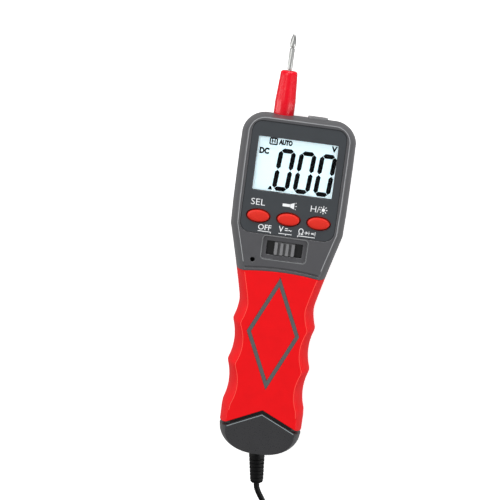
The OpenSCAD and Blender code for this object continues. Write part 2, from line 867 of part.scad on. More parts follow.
chip_w = 12;
chip_t = 1.4;
chip_up = 18;
ptc_d = 8;
ptc_t = 3.6;
ptc_in = 11;
ptc_up = 29.1;
ptc_place = [board_half - ptc_in, button_y + ptc_up];
resistor_d = 3;
resistor_l = 9;
resistor_in = 7;
resistor_up = 7.1;
resistor_place = [resistor_in - board_half, button_y + resistor_up];
resistor_pitch = 5;
module under_board(drop) {
    translate([0, 0, board_z - board_t - drop]) children();
}

module meter_chip() {
    color("#202022") at_origin() under_board(chip_t)
        translate([-chip_w / 2, button_y + chip_up - chip_w / 2]) cube([chip_w, chip_w, chip_t]);
}

module ptc_resistor() {
    color("#2f6fb0") at_origin() under_board(ptc_t) translate(ptc_place) cylinder(h = ptc_t, d = ptc_d);
}

module input_resistors() {
    color("#c9b58a") at_origin() under_board(resistor_d / 2)
        for (i = [0:2])
            translate([resistor_place.x + i * resistor_pitch, resistor_place.y])
                rotate([90, 0, 0]) cylinder(h = resistor_l, d = resistor_d, center = true);
}

module tact_switches() {
    color("#2a2a2c") at_origin() for (x = button_x) translate([x, button_y, board_z]) difference() {
        translate([-tact_w / 2, -tact_w / 2, 0]) cube([tact_w, tact_w, tact_t]);
        translate([0, 0, well_floor]) cylinder(h = tact_t, d = plunger_d + 2 * plunger_gap);
    }
}

module button(i) {
    cap_z = button_flange_z + button_flange_t;
    stem_z = plunger_low + plunger_l;
    color("#e8302e") at_origin() translate([button_x[i], button_y]) union() {
        translate([0, 0, stem_z]) cylinder(h = button_flange_z - stem_z + seat_gap, d = stem_d);
        translate([0, 0, button_flange_z])
            linear_extrude(button_flange_t)
                polygon(oval(button_w + 2 * flange_grow, button_h + 2 * flange_grow));
        translate([0, 0, cap_z])
            linear_extrude(case_t + button_up - cap_z) polygon(oval(button_w, button_h));
    }
}
module button_select() { button(0); }
module button_torch() { button(1); }
module button_hold() { button(2); }

module plunger(i) {
    color("#b8322c") at_origin()
        translate([button_x[i], button_y, plunger_low]) cylinder(h = plunger_l, d = plunger_d);
}
module plunger_select() { plunger(0); }
module plunger_torch() { plunger(1); }
module plunger_hold() { plunger(2); }

rib_n = 3;
rib_pitch = 2.6;
rib_cut = 1.3;
rib_depth = 0.6;
module slide_knob() {
    top = case_t + knob_up;
    prong_x = post_w / 2 + post_gap + prong_w / 2;
    color("#6c6c6e") at_origin() translate([0, slide_y, 0]) difference() {
        union() {
            translate([-knob_flange_w / 2, -knob_flange_h / 2, knob_flange_z])
                cube([knob_flange_w, knob_flange_h, knob_flange_t]);
            translate([-knob_w / 2, -knob_h / 2, knob_flange_z])
                cube([knob_w, knob_h, top - knob_flange_z]);
            for (s = [-1, 1])
                translate([s * prong_x - prong_w / 2, -prong_h / 2, knob_flange_z - prong_l])
                    cube([prong_w, prong_h, prong_l + seat_gap]);
        }
        for (i = [0:rib_n - 1])
            translate([(i - (rib_n - 1) / 2) * rib_pitch - rib_cut / 2, -knob_h, top - rib_depth])
                cube([rib_cut, 2 * knob_h, rib_depth + over]);
    }
}

module slide_switch_body() {
    color("#9a9c9e") at_origin() translate([0, slide_y, board_z]) difference() {
        translate([-body_w / 2, -body_h / 2, 0]) cube([body_w, body_h, body_l]);
        translate([-post_w / 2 - knob_travel - slot_room, -post_w / 2 - slot_room, body_floor])
            cube([post_w + 2 * (knob_travel + slot_room), post_w + 2 * slot_room, body_l]);
    }
}

module slide_switch_wiper() {
    low = board_z + body_floor + slot_room;
    color("#d8d4c8") at_origin()
        translate([-post_w / 2, slide_y - post_w / 2, low])
            cube([post_w, post_w, knob_flange_z - post_gap - low]);
}

buzzer_d = 9;
buzzer_t = 3.6;
buzzer_shift = [1.5, 1.8];
module buzzer() {
    color("#1c1c1e") at_origin() translate([sound_hole.x, sound_hole.y, board_z]) difference() {
        translate(buzzer_shift) cylinder(h = buzzer_t, d = buzzer_d);
        translate([0, 0, buzzer_t / 2]) cylinder(h = buzzer_t, d = sound_d);
    }
}

module torch_bezel() {
    color("#6a6a6c") at_origin()
        translate([bezel_x, case_l + bezel_out - bezel_l, split_z]) rotate([-90, 0, 0]) difference() {
            linear_extrude(bezel_l) polygon(round_rect(bezel_w, bezel_h, bezel_r));
            translate([0, 0, -over]) cylinder(h = bezel_l + 2 * over, d = lamp_d + 2 * neck_gap);
        }
}

module torch_lamp() {
    tip = case_l + lamp_out;
    back = tip - lamp_l;
    color("#f2f4f6") at_origin() translate([bezel_x, 0, split_z]) union() {
        translate([0, back, 0]) rotate([-90, 0, 0]) cylinder(h = lamp_l - lamp_d / 2, d = lamp_d);
        translate([0, tip - lamp_d / 2, 0]) sphere(d = lamp_d);
        translate([0, back, 0]) rotate([-90, 0, 0]) cylinder(h = lamp_base_t, d = lamp_base_d);
        for (s = [-1, 1]) translate([s * lamp_leg_x, back, 0]) {
            translate([0, -lamp_leg_l, 0]) rotate([-90, 0, 0])
                cylinder(h = lamp_leg_l + seat_gap, d = lamp_leg_d);
            translate([0, -lamp_leg_l, 0]) sphere(d = lamp_leg_d);
            translate([0, -lamp_leg_l, 0]) cylinder(h = board_z - board_t - split_z, d = lamp_leg_d);
        }
    }
}

module probe_sleeve() {
    inside = case_l - sleeve_in;
    collar = top_in_y - collar_in - collar_t;
    taper = case_l + sleeve_straight;
    out = case_l + sleeve_out;
    color("#e01028") at_origin() along_probe() rotate_extrude() polygon(concat(
        [
            [thin_r + rod_gap, inside],
            [sleeve_d / 2, inside],
            [sleeve_d / 2, collar],
            [collar_d / 2, collar],
            [collar_d / 2, collar + collar_t],
            [sleeve_d / 2, collar + collar_t],
            [sleeve_d / 2, taper]
        ],
        [for (i = [0:4])
            let (a = 90 * i / 4)
            [sleeve_end_d / 2 - sleeve_round * (1 - cos(a)), out - sleeve_round * (1 - sin(a))]],
        [[thin_r + rod_gap, out]]
    ));
}

neck_up = 7.25;
neck_l = 0.5;
neck_r = 0.9;
spear_l = 3.2;
point_r = 0.3;
rod_step = 0.5;
module probe_tip() {
    base = case_l - rod_in;
    waist = total_l - neck_up;
    root = case_l + sleeve_out + rod_step;
    color(steel) at_origin() along_probe() rotate_extrude() polygon([
        [0, base],
        [thin_r, base],
        [thin_r, root],
        [rod_d / 2, root],
        [rod_d / 2, waist - neck_l / 2],
        [neck_r, waist],
        [rod_d / 2, waist + neck_l / 2],
        [rod_d / 2, total_l - spear_l],
        [point_r, total_l - point_r / 2],
        [0, total_l]
    ]);
}

socket_w = 6;
socket_floor = 1.4;
module probe_socket() {
    low = case_l - rod_in - socket_floor - fit_gap;
    high = case_l - sleeve_in - fit_gap;
    color("#c9a24a") at_origin() difference() {
        translate([probe_x - socket_w / 2, low, split_z - socket_w / 2])
            cube([socket_w, high - low, board_z - board_t - split_z + socket_w / 2]);
        along_probe(low + socket_floor) cylinder(h = rod_in, r = thin_r + rod_gap);
    }
}

ridge_n = 6;
ridge_from = 3;
ridge_step = 2;
ridge_cut = 0.45;
relief_l = norm(relief_run);
function relief_radius(l) = lerp(relief_d, relief_end_d, l / relief_l) / 2;
relief_round = 1;
root_in = 1.2;
root_step = 0.25;
collar_out = 0.4;
module strain_relief() {
    start = core_wall_in + flange_in;
    profile = concat(
        [
            [0, -root_in],
            [relief_radius(0) - root_step, -root_in],
            [relief_radius(0) - root_step, collar_out + root_step],
            [relief_radius(0), 2 * collar_out + root_step]
        ],
        [for (i = [0:ridge_n - 1])
            let (a = ridge_from + i * ridge_step, r = relief_radius(a))
            each [[r, a], [r - ridge_cut, a + ridge_step / 4], [r - ridge_cut, a + ridge_step / 2],
                [r, a + 3 / 4 * ridge_step]]],
        [
            [relief_radius(relief_l), relief_l - relief_round],
            [relief_radius(relief_l) - relief_round, relief_l],
            [0, relief_l]
        ]
    );
    color(lead_black) at_origin() union() {
        translate(relief_root) rotate([90 + relief_droop, 0, relief_yaw])
            rotate_extrude() polygon(profile);
        translate([0, -collar_out, split_z]) rotate([-90, 0, 0])
            cylinder(h = collar_out + skin_t - skin_gap, d = relief_d);
        translate(relief_root) rotate([-90, 0, 0]) cylinder(h = start + seat_gap, d = neck_d);
        translate([0, start, split_z]) rotate([-90, 0, 0]) cylinder(h = flange_t, d = flange_d);
    }
}

module inner_lead() {
    color(lead_black) at_origin() tube(inner_path, lead_r, 8);
}

nub_d = 3.8;
nub_l = 1;
module cell(up) {
    low = up ? bay_low + plate_t + spring_l : bay_low + plate_t + fit_gap;
    translate([up ? -cell_x : cell_x, up ? low : low + cell_l, cell_z]) rotate([up ? -90 : 90, 0, 0]) {
        cylinder(h = cell_l - nub_l, d = cell_d);
        translate([0, 0, cell_l - nub_l]) cylinder(h = nub_l, d = nub_d);
    }
}
module battery_left() {
    color("#3a6ea5") at_origin() cell(true);
}
module battery_right() {
    color("#3a6ea5") at_origin() cell(false);
}

module battery_springs() {
    echo(least_gap_of_spring = least_gap(spring_path, curl_rings - 2, spring_wire));
    color(steel) at_origin() spring_places() tube(spring_path, spring_wire / 2, 6);
}

plate_w = 9;
plate_low = 4;
plate_high = 13;
module contact_bridge() {
    color("#c9b04a") at_origin() translate([-cell_x - plate_w / 2, bay_low, plate_low])
        cube([2 * cell_x + plate_w, plate_t, plate_high - plate_low]);
}

// Upper contact with a strap that rises through the roof and lies under the board
module strap_contact(s) {
    under = board_z - board_t;
    leg_end = max(board_low_y, bay_high) + strap_over;
    color("#c9b04a") at_origin() union() {
        translate([s * cell_x - plate_w / 2, bay_high - plate_t, plate_low])
            cube([plate_w, plate_t, plate_high - plate_low]);
        translate([s * cell_x - strap_w / 2, bay_high - plate_t, plate_low])
            cube([strap_w, plate_t, under - plate_low]);
        translate([s * cell_x - strap_w / 2, bay_high - plate_t, under - plate_t])
            cube([strap_w, leg_end - bay_high + plate_t, plate_t]);
    }
}
module contact_plus() { strap_contact(-1); }
module contact_minus() { strap_contact(1); }

cradle_w = 1;
cradle_t = 1.4;
cradle_in = 6;
end_steps = 8;
module battery_door() {
    color(cap_grey) at_origin() difference() {
        union() {
            rotate([90, 0, 90]) linear_extrude(door_w, center = true) polygon(concat(
                [[door_y, door_in], [door_y, door_lift]],
                [for (i = [0:end_steps])
                    let (a = 180 * i / end_steps - 90)
                    [axle_y + door_t / 2 * cos(a), axle_z + door_t / 2 * sin(a)]]
            ));
            for (s = [-1, 1])
                translate([s * (door_w + trunnion_l) / 2, axle_y, axle_z]) rotate([0, 90, 0])
                    cylinder(h = trunnion_l + seat_gap, r = trunnion_r, center = true);
            translate([-cradle_w / 2, bay_low + cradle_in, door_in - seat_gap])
                cube([cradle_w, cell_l - 2 * cradle_in, cradle_t]);
        }
        translate([0, door_y + door_screw_in, -over]) cylinder(h = case_t, d = door_screw_d + 2 * neck_gap);
        translate([0, door_y + door_screw_in, -over])
            cylinder(h = door_lift + screw_head_t + over - door_gap, d = screw_head_d + screw_gap);
    }
}

module slotted_head(d, t) {
    slot_share = 0.22;
    difference() {
        cylinder(h = t, d = d);
        for (a = [0, 90])
            rotate([0, 0, a]) translate([-d / 3, -d * slot_share / 2, -over])
                cube([d * 2 / 3, d * slot_share, t / 2 + over]);
    }
}

module battery_door_screw() {
    color(steel) at_origin() translate([0, door_y + door_screw_in, door_lift]) {
        slotted_head(screw_head_d, screw_head_t - door_gap);
        cylinder(h = door_t + door_screw_l, d = door_screw_d);
    }
}

module case_screws() {
    color(steel) at_origin() at_bosses() translate([0, 0, sink_z]) {
        translate([0, 0, -screw_head_t]) slotted_head(screw_head_d, screw_head_t);
        cylinder(h = screw_l - fit_gap, d = screw_d);
    }
}

module lead_run() {
    color(lead_black) at_origin() tube(run_path, lead_r, 8);
}

// Length of a path
function run_length(p, i = 1) = i < len(p) ? norm(p[i] - p[i - 1]) + run_length(p, i + 1) : 0;

module lead_coil() {
    echo(least_gap_of_coil = least_gap(coil_wound, loop_rings / 2, lead_d));
    echo(length_of_coil = run_length(coil_wound));
    color(lead_black) at_origin() tube(coil_path, lead_r, 6);
}

module lead_end() {
    color(lead_black) at_origin() tube(end_path, lead_r, 8);
}

tie_r = 1.5;
module coil_tie() {
    near = coil_in_r - coil_dip - lead_r - tie_gap;
    far = coil_r + lead_r + tie_gap;
    low = tie_t;
    high = coil_z + coil_step + lead_r + tie_gap;
    color("#242426") at_origin()
        translate([coil_mid.x - tie_w / 2, coil_mid.y - (near + far) / 2, (low + high) / 2])
            rotate([90, 0, 90]) linear_extrude(tie_w) difference() {
                polygon(round_rect(far - near + 2 * tie_t, high - low + 2 * tie_t - far_lift, tie_r));
                polygon(round_rect(far - near, high - low, tie_r - tie_t / 2));
            }
}

module test_probe_relief() {
    wide = 7;
    profile = concat(
        [[0, 0], [lead_r + relief_round, 0]],
        [for (i = [0:ridge_n - 1])
            let (
                a = relief_round + i * ridge_step,
                r = lerp(lead_r + relief_round, wide / 2, a / probe_relief_l)
            )
            each [[r, a], [r - ridge_cut, a + ridge_step / 4], [r - ridge_cut, a + ridge_step / 2],
                [r, a + 3 / 4 * ridge_step]]],
        [[wide / 2, probe_relief_l], [0, probe_relief_l]]
    );
    color(lead_black) at_origin() at_far_probe() rotate_extrude() polygon(profile);
}

// Handle of the far probe: shares of its length and radii from the rear end to the nose
nose_d = 5.2;
waist_d = 8.2;
guard_t = 2.6;
module test_probe_handle() {
    rear_share = 0.04;
    waist_share = 0.62;
    color("#1c1c1e") at_origin() at_far_probe(probe_relief_l) rotate_extrude() polygon([
        [0, 0],
        [handle_r - relief_round, 0],
        [handle_r, handle_l * rear_share],
        [waist_d / 2, handle_l * waist_share],
        [waist_d / 2, guard_y - guard_t],
        [guard_r, guard_y - guard_t / 3],
        [guard_r, guard_y + guard_t / 3],
        [waist_d / 2, guard_y + guard_t],
        [nose_d / 2, handle_l - relief_round],
        [nose_d / 2 - relief_round / 2, handle_l],
        [far_rod_r + rod_gap, handle_l],
        [far_rod_r + rod_gap, handle_l - far_rod_in],
        [0, handle_l - far_rod_in]
    ]);
}

module test_probe_tip() {
    top = handle_l + far_tip_l;
    color(steel) at_origin() at_far_probe(probe_relief_l) rotate_extrude() polygon([
        [0, handle_l - far_rod_in + seat_gap],
        [far_rod_r, handle_l - far_rod_in + seat_gap],
        [far_rod_r, top - 2 * far_rod_r],
        [point_r, top - point_r / 2],
        [0, top]
    ]);
}

front_case();
rear_case();
front_grip();
rear_grip();
diamond_inlay();
tail_cap();
display_panel();
display_window();
lcd_glass();
lcd_frame();
backlight_block();
zebra_strips();
main_board();
meter_chip();
ptc_resistor();
input_resistors();
tact_switches();
button_select();
button_torch();
button_hold();
plunger_select();
plunger_torch();
plunger_hold();
slide_knob();
slide_switch_body();
slide_switch_wiper();
buzzer();
torch_bezel();
torch_lamp();
probe_sleeve();
probe_tip();
probe_socket();
strain_relief();
inner_lead();
battery_left();
battery_right();
battery_springs();
contact_bridge();
contact_plus();
contact_minus();
battery_door();
battery_door_screw();
case_screws();
lead_run();
lead_coil();
coil_tie();
lead_end();
test_probe_relief();
test_probe_handle();
test_probe_tip();
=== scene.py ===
import math

import bmesh
import bpy
from mathutils import Matrix, Vector


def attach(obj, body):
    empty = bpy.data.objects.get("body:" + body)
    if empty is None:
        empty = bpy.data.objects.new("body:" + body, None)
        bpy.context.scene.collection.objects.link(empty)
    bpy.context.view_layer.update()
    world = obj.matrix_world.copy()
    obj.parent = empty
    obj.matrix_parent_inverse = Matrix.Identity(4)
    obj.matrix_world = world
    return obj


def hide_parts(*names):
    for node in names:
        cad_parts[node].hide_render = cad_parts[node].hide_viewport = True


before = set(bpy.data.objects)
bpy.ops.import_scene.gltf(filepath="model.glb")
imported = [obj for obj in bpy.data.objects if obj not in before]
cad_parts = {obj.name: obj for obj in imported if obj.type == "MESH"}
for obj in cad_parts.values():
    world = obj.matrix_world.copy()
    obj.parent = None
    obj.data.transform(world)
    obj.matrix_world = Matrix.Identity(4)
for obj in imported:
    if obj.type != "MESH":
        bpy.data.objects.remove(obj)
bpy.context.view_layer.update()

# Places in millimetres, from the tail along the case, across it from its middle, and up from its back
TOTAL = 212.0  # from the tail to the tip of the probe
CASE_TOP = 171.4
SPLIT = 15.0  # height of the parting plane, the probe and the lead's exit
FACE_Z = 30.0
CEILING = 27.6  # inner side of the face
BUTTON_X = (-15.1, 0, 15.1)
BUTTON_Y = 120.9
SLIDE_Y = 105.7
WINDOW_Y = 147.1
PANEL_Y = 140.3
FILM_Z = 29.7  # top of the display panel
LCD_Z = 27.62  # top of the display glass with its figures
DOOR_Y = 57.1
PROBE_X = -9.2
TORCH_X = 8.1
# Heights of the thin strips that carry painted highlights along edges
HIGHLIGHT_LOW, HIGHLIGHT_TOP = 29.9, 30.03


def place(x, y, z):
    """A point in millimetres, measured along the case from its tail, as the frame has it."""
    return Vector((x, y - TOTAL / 2, z)) / 1000


def aim_camera():
    """Above the face, pitched a little toward the head and rolled."""
    pitch, roll, far = math.radians(8), math.radians(7.6), 1.4
    pixels, pixels_per_m = 500, 2010
    back = Vector((0, math.sin(pitch), math.cos(pitch)))
    lean = Vector((0, math.cos(pitch), -math.sin(pitch)))
    side = Vector((1, 0, 0))
    up = lean * math.cos(roll) - side * math.sin(roll)
    right = side * math.cos(roll) + lean * math.sin(roll)
    data = bpy.data.cameras.new("camera")
    data.sensor_width = 36
    data.lens = data.sensor_width * pixels_per_m * far / pixels
    data.clip_end = 10
    camera = bpy.data.objects.new("camera", data)
    bpy.context.collection.objects.link(camera)
    turn = Matrix((right, up, back)).transposed().to_4x4()
    camera.matrix_world = Matrix.Translation(place(-16.9, 103.3, 30) + back * far) @ turn
    bpy.context.scene.camera = camera
    bpy.context.scene.render.resolution_x = pixels
    bpy.context.scene.render.resolution_y = pixels


aim_camera()


def linear(shade):
    """An sRGB hex colour as linear light."""
    parts = [int(shade[i:i + 2], 16) / 255 for i in (1, 3, 5)]
    return tuple(c / 12.92 if c <= 0.04045 else ((c + 0.055) / 1.055) ** 2.4 for c in parts) + (1,)


def add(tree, kind, links=(), inputs=(), **settings):
    """Adds a node with its settings, its constant inputs and the links that lead into it."""
    made = tree.nodes.new(kind)
    for key, value in settings.items():
        setattr(made, key, value)
    for key, value in dict(inputs).items():
        made.inputs[key].default_value = value
    for key, socket in dict(links).items():
        tree.links.new(socket, made.inputs[key])
    return made


CLOUD = 6  # size of the clouds in a colour, in millimetres
SWING = 0.04  # how far the roughness swings with the grain


def material(name, shade, rough, metal=0.0, coat=0.0, grain=0.5, depth=0.01, mottle=0.06, sheen=0.0,
             through=0.0, ior=1.5, glow=0.0, specular=0.5):
    """A surface with a clouded colour and a fine grain, whose size and depth are in millimetres."""
    made = bpy.data.materials.new(name)
    made.use_nodes = True
    tree = made.node_tree
    tree.nodes.clear()
    where = add(tree, "ShaderNodeTexCoord").outputs["Object"]
    cloud = add(tree, "ShaderNodeTexNoise", {"Vector": where}, {"Scale": 1000 / CLOUD, "Detail": 3})
    fine = add(tree, "ShaderNodeTexNoise", {"Vector": where}, {"Scale": 1000 / grain, "Detail": 2})
    tone = add(tree, "ShaderNodeMapRange", {"Value": cloud.outputs["Fac"]},
               {"From Min": 0.3, "From Max": 0.7, "To Min": 1 - mottle, "To Max": 1 + mottle})
    tint = add(tree, "ShaderNodeVectorMath", {"Scale": tone.outputs["Result"]},
               {0: linear(shade)[:3]}, operation="SCALE")
    gloss = add(tree, "ShaderNodeMapRange", {"Value": fine.outputs["Fac"]},
                {"From Min": 0.3, "From Max": 0.7, "To Min": max(rough - SWING, 0.02), "To Max": rough + SWING})
    bump = add(tree, "ShaderNodeBump", {"Height": fine.outputs["Fac"]},
               {"Strength": 0.6, "Distance": depth / 1000})
    surface = add(tree, "ShaderNodeBsdfPrincipled",
                  {"Base Color": tint.outputs["Vector"], "Roughness": gloss.outputs["Result"],
                   "Normal": bump.outputs["Normal"]},
                  {"Metallic": metal, "Coat Weight": coat, "Coat Roughness": 0.12, "IOR": ior,
                   "Transmission Weight": through, "Sheen Weight": sheen,
                   "Specular IOR Level": specular, "Emission Strength": glow})
    if glow:
        tree.links.new(tint.outputs["Vector"], surface.inputs["Emission Color"])
    add(tree, "ShaderNodeOutputMaterial", {"Surface": surface.outputs["BSDF"]})
    return made


# The real grains are finer than a pixel, so each is drawn as coarse as it needs to show.

# ABS, moulded in a spark-eroded tool: a fine even grain with a low sheen
CASE = material("abs_case", "#505053", 0.34, grain=0.45, depth=0.012, mottle=0.04)
# ABS of the tail cap: darker, with the same grain
CAP = material("abs_cap", "#333335", 0.3, grain=0.45, depth=0.012, mottle=0.05)
# Thermoplastic rubber moulded over the case: soft, even, with a silky sheen
GRIP = material("tpe_grip", "#ec0c14", 0.5, grain=0.35, depth=0.012, mottle=0.03, specular=0.16)
# Painted highlight along the grip's face edge: a thin strip of brighter red
GRIP_HIGHLIGHT = material("tpe_painted_highlight", "#ff5046", 0.32, grain=0.4, depth=0.004)
# Painted ABS of the diamond inlay: a flat grey with little gloss
INLAY = material("abs_inlay", "#565859", 0.44, grain=0.4, depth=0.015)
# Polycarbonate overlay, printed on its rear: satin and very even
PANEL = material("polycarbonate_overlay", "#3a3e42", 0.38, grain=0.25, depth=0.006, mottle=0.03)
# Acrylic window, polished: clear, with hardly a reflection of its own
CLEAR = material("acrylic_window", "#ffffff", 0.04, through=1.0, ior=1.06, grain=2, depth=0.0005, mottle=0.0)
# Liquid crystal glass over a white backlight: a pale even glow
LCD = material("lcd_glass", "#dff5fb", 0.35, grain=0.3, depth=0.002, mottle=0.012, glow=0.34, specular=0.1)
# Liquid crystal figures: dark and matt
FIGURE = material("lcd_figure", "#0b0c0e", 0.6, grain=0.3, depth=0.002, specular=0.1)
# Pad-printed ink: thin, matt, with the plate's fine texture, and a faint painted glow that makes it brighter
# than the lamps light it
INK_AND_GLOW = material("white_ink_painted_glow", "#eceef0", 0.55, grain=0.2, depth=0.004, glow=0.1)
# Silicone rubber push buttons: satin red
BUTTON = material("silicone_button", "#dc2a1c", 0.42, grain=0.3, depth=0.01, mottle=0.03, specular=0.3)
# ABS of the torch bezel, moulded in a polished tool: paler and smooth
BEZEL = material("abs_bezel", "#8c8d8e", 0.3, grain=0.4, depth=0.008)
# ABS of the slide knob, moulded with a grain: mid grey, with glints on its ribs
KNOB = material("abs_knob", "#7c7c7e", 0.32, grain=0.4, depth=0.01)
# Black ABS of the switch parts, as moulded: near black and dull; it is also painted shade, on the knob's flange
# in the slot and on the grey case in the groove between the tail cap and the grip
BLACK_AND_SHADE = material("abs_black_and_painted_shade", "#141415", 0.45, grain=0.4, depth=0.01)
# Glossy PVC sleeve, dip moulded: a wet red surface
SLEEVE = material("pvc_sleeve", "#e6001e", 0.26, coat=0.16, grain=3, depth=0.0003, mottle=0.02, specular=0.3)
# Nickel plated steel, drawn and left satin: a smooth rod with a broad soft glint
STEEL = material("nickel_steel", "#b2b3b1", 0.38, metal=1.0, grain=1.5, depth=0.0001, mottle=0.015)
# Gold plated brass, turned: warm and bright
BRASS = material("gold_brass", "#c9a24a", 0.3, metal=1.0, grain=0.3, depth=0.003)
# PVC of the strain relief: soft black with a fine bloom
RELIEF = material("pvc_relief", "#080809", 0.5, grain=0.4, depth=0.01, specular=0.18)
# Silicone rubber jacket of the test lead: soft black with dust in its surface
LEAD = material("silicone_lead", "#080809", 0.5, grain=0.5, depth=0.01, specular=0.18)
# Painted highlight round the face of the head: a thin paler grey strip along its edge
FACE_HIGHLIGHT = material("abs_face_painted_highlight", "#a4a6a8", 0.25, grain=0.4, depth=0.004)
# Painted highlight round the switch recess: a thin paler grey ring, a little duller than the one round the face
RECESS_HIGHLIGHT = material("abs_recess_painted_highlight", "#7d7f80", 0.28, grain=0.4, depth=0.004)
# Painted highlight along the cap's edge: a thin strip in a cool bright grey
CAP_HIGHLIGHT = material("abs_cap_painted_highlight", "#9aa3a6", 0.25, grain=0.4, depth=0.004)
# Woven nylon hook and loop tape of the tie: dull, with a soft nap
FABRIC = material("nylon_tie", "#202124", 0.8, grain=0.6, depth=0.05, sheen=0.3)
# Nylon handle of the far probe, moulded: black with a low sheen
HANDLE = material("nylon_handle", "#1b1b1d", 0.4, grain=0.5, depth=0.015)
# Glass-fibre epoxy board under a green solder mask: smooth and half glossy
BOARD = material("fr4_board", "#1f5a34", 0.35, grain=0.5, depth=0.006)
# Epoxy of the chip and buzzer, moulded: dull black
EPOXY = material("epoxy_black", "#1a1a1b", 0.5, grain=0.3, depth=0.01)
# Epoxy of the thermistor, dipped: a smooth yellow drop
PTC = material("epoxy_ptc", "#c8a030", 0.4, grain=0.5, depth=0.01)
# Enamel of the resistors, fired: pale blue and glossy
ENAMEL = material("enamel_blue", "#7fa6b8", 0.3, grain=0.4, depth=0.006)
# Polystyrene of the light guide and frames, moulded: white and half glossy
WHITE = material("polystyrene_white", "#e8e8e6", 0.35, grain=0.5, depth=0.004)
# Conductive rubber in thin layers, cut: dark and dull
ZEBRA = material("zebra_rubber", "#3a3432", 0.6, grain=0.3, depth=0.01)
# Epoxy of the lamp, cast: clear, and bright at its edges
LAMP = material("epoxy_clear", "#f2f4f6", 0.08, through=0.85, ior=1.5, grain=1, depth=0.001, mottle=0.01)
# Shrink film of the cells, printed: smooth under a clear coat
JACKET = material("pvc_jacket", "#2d4f7c", 0.3, grain=0.6, depth=0.004, coat=0.3)
# Zinc plated steel of screws and springs: a bright grey metal
ZINC = material("zinc_steel", "#b5b6b8", 0.28, metal=1.0, grain=0.3, depth=0.003)

NODE_LOOKS = {
    "front_case": CASE, "rear_case": CASE, "front_grip": GRIP, "rear_grip": GRIP, "diamond_inlay": INLAY,
    "tail_cap": CAP, "display_panel": PANEL, "display_window": CLEAR, "lcd_glass": LCD, "lcd_frame": WHITE,
    "backlight_block": WHITE, "zebra_strips": ZEBRA, "main_board": BOARD, "meter_chip": EPOXY,
    "ptc_resistor": PTC, "input_resistors": ENAMEL, "tact_switches": ZINC, "button_select": BUTTON,
    "button_torch": BUTTON, "button_hold": BUTTON, "plunger_select": WHITE, "plunger_torch": WHITE,
    "plunger_hold": WHITE, "slide_knob": KNOB, "slide_switch_body": ZINC, "slide_switch_wiper": BLACK_AND_SHADE,
    "buzzer": EPOXY, "torch_bezel": BEZEL, "torch_lamp": LAMP, "probe_sleeve": SLEEVE, "probe_tip": STEEL,
    "probe_socket": BRASS, "strain_relief": RELIEF, "inner_lead": LEAD, "battery_left": JACKET,
    "battery_right": JACKET, "battery_springs": ZINC, "contact_bridge": ZINC, "contact_plus": ZINC,
    "contact_minus": ZINC, "battery_door": CAP, "battery_door_screw": ZINC, "case_screws": ZINC,
    "coil_tie": FABRIC, "test_probe_relief": RELIEF, "test_probe_handle": HANDLE, "test_probe_tip": STEEL,
}
for name, look in NODE_LOOKS.items():
    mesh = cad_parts[name].data
    mesh.materials.clear()
    mesh.materials.append(look)


# The lead: one cord from the strain relief through the coil to the far probe
LEAD_D = 2.9
EXIT = (2, -16.5, 13)  # tip of the strain relief
COIL_START = 30  # degrees
COIL_LOOPS = 7 + COIL_START / 360
COIL_TURN = (COIL_LOOPS - 0.5) / 2  # loops of the lower layer, after which the lead climbs
COIL_X, COIL_Y, COIL_Z = -2, -58, 2.55
COIL_R = 23.6
COIL_PITCH = 3.4  # from loop to loop, and from layer to layer


def coil_way(s):
    """The direction of the coil after s loops."""
    a = math.radians(COIL_START - 360 * s)
    return Vector((math.sin(a), -math.cos(a), 0))


def coil_at(s):
    """The coil's point after s loops: inward in the lower layer, outward again in the upper one."""
    a = math.radians(COIL_START - 360 * s)
    climb = min(max((s - COIL_TURN) / 0.5, 0), 1)
    if s < COIL_TURN:
        r = COIL_R - COIL_PITCH * s
    elif climb == 1:
        r = COIL_R - COIL_PITCH * (COIL_LOOPS - s)
    else:
        r = COIL_R - COIL_PITCH * COIL_TURN - 0.8 * math.sin(math.pi * climb)
    return Vector((COIL_X + r * math.cos(a), COIL_Y + r * math.sin(a),
                   COIL_Z + COIL_PITCH * climb * climb * (3 - 2 * climb)))


def eased(points, steps):
    """More points on a smooth line through the given ones."""
    full = [2 * points[0] - points[1], *points, 2 * points[-1] - points[-2]]
    line = []
    for a, b, c, d in zip(full, full[1:], full[2:], full[3:]):
        for k in range(steps):
            t = k / steps
            line.append(0.5 * (2 * b + (c - a) * t + (2 * a - 5 * b + 4 * c - d) * t * t
                               + (3 * b - a - 3 * c + d) * t ** 3))
    return line + [points[-1]]


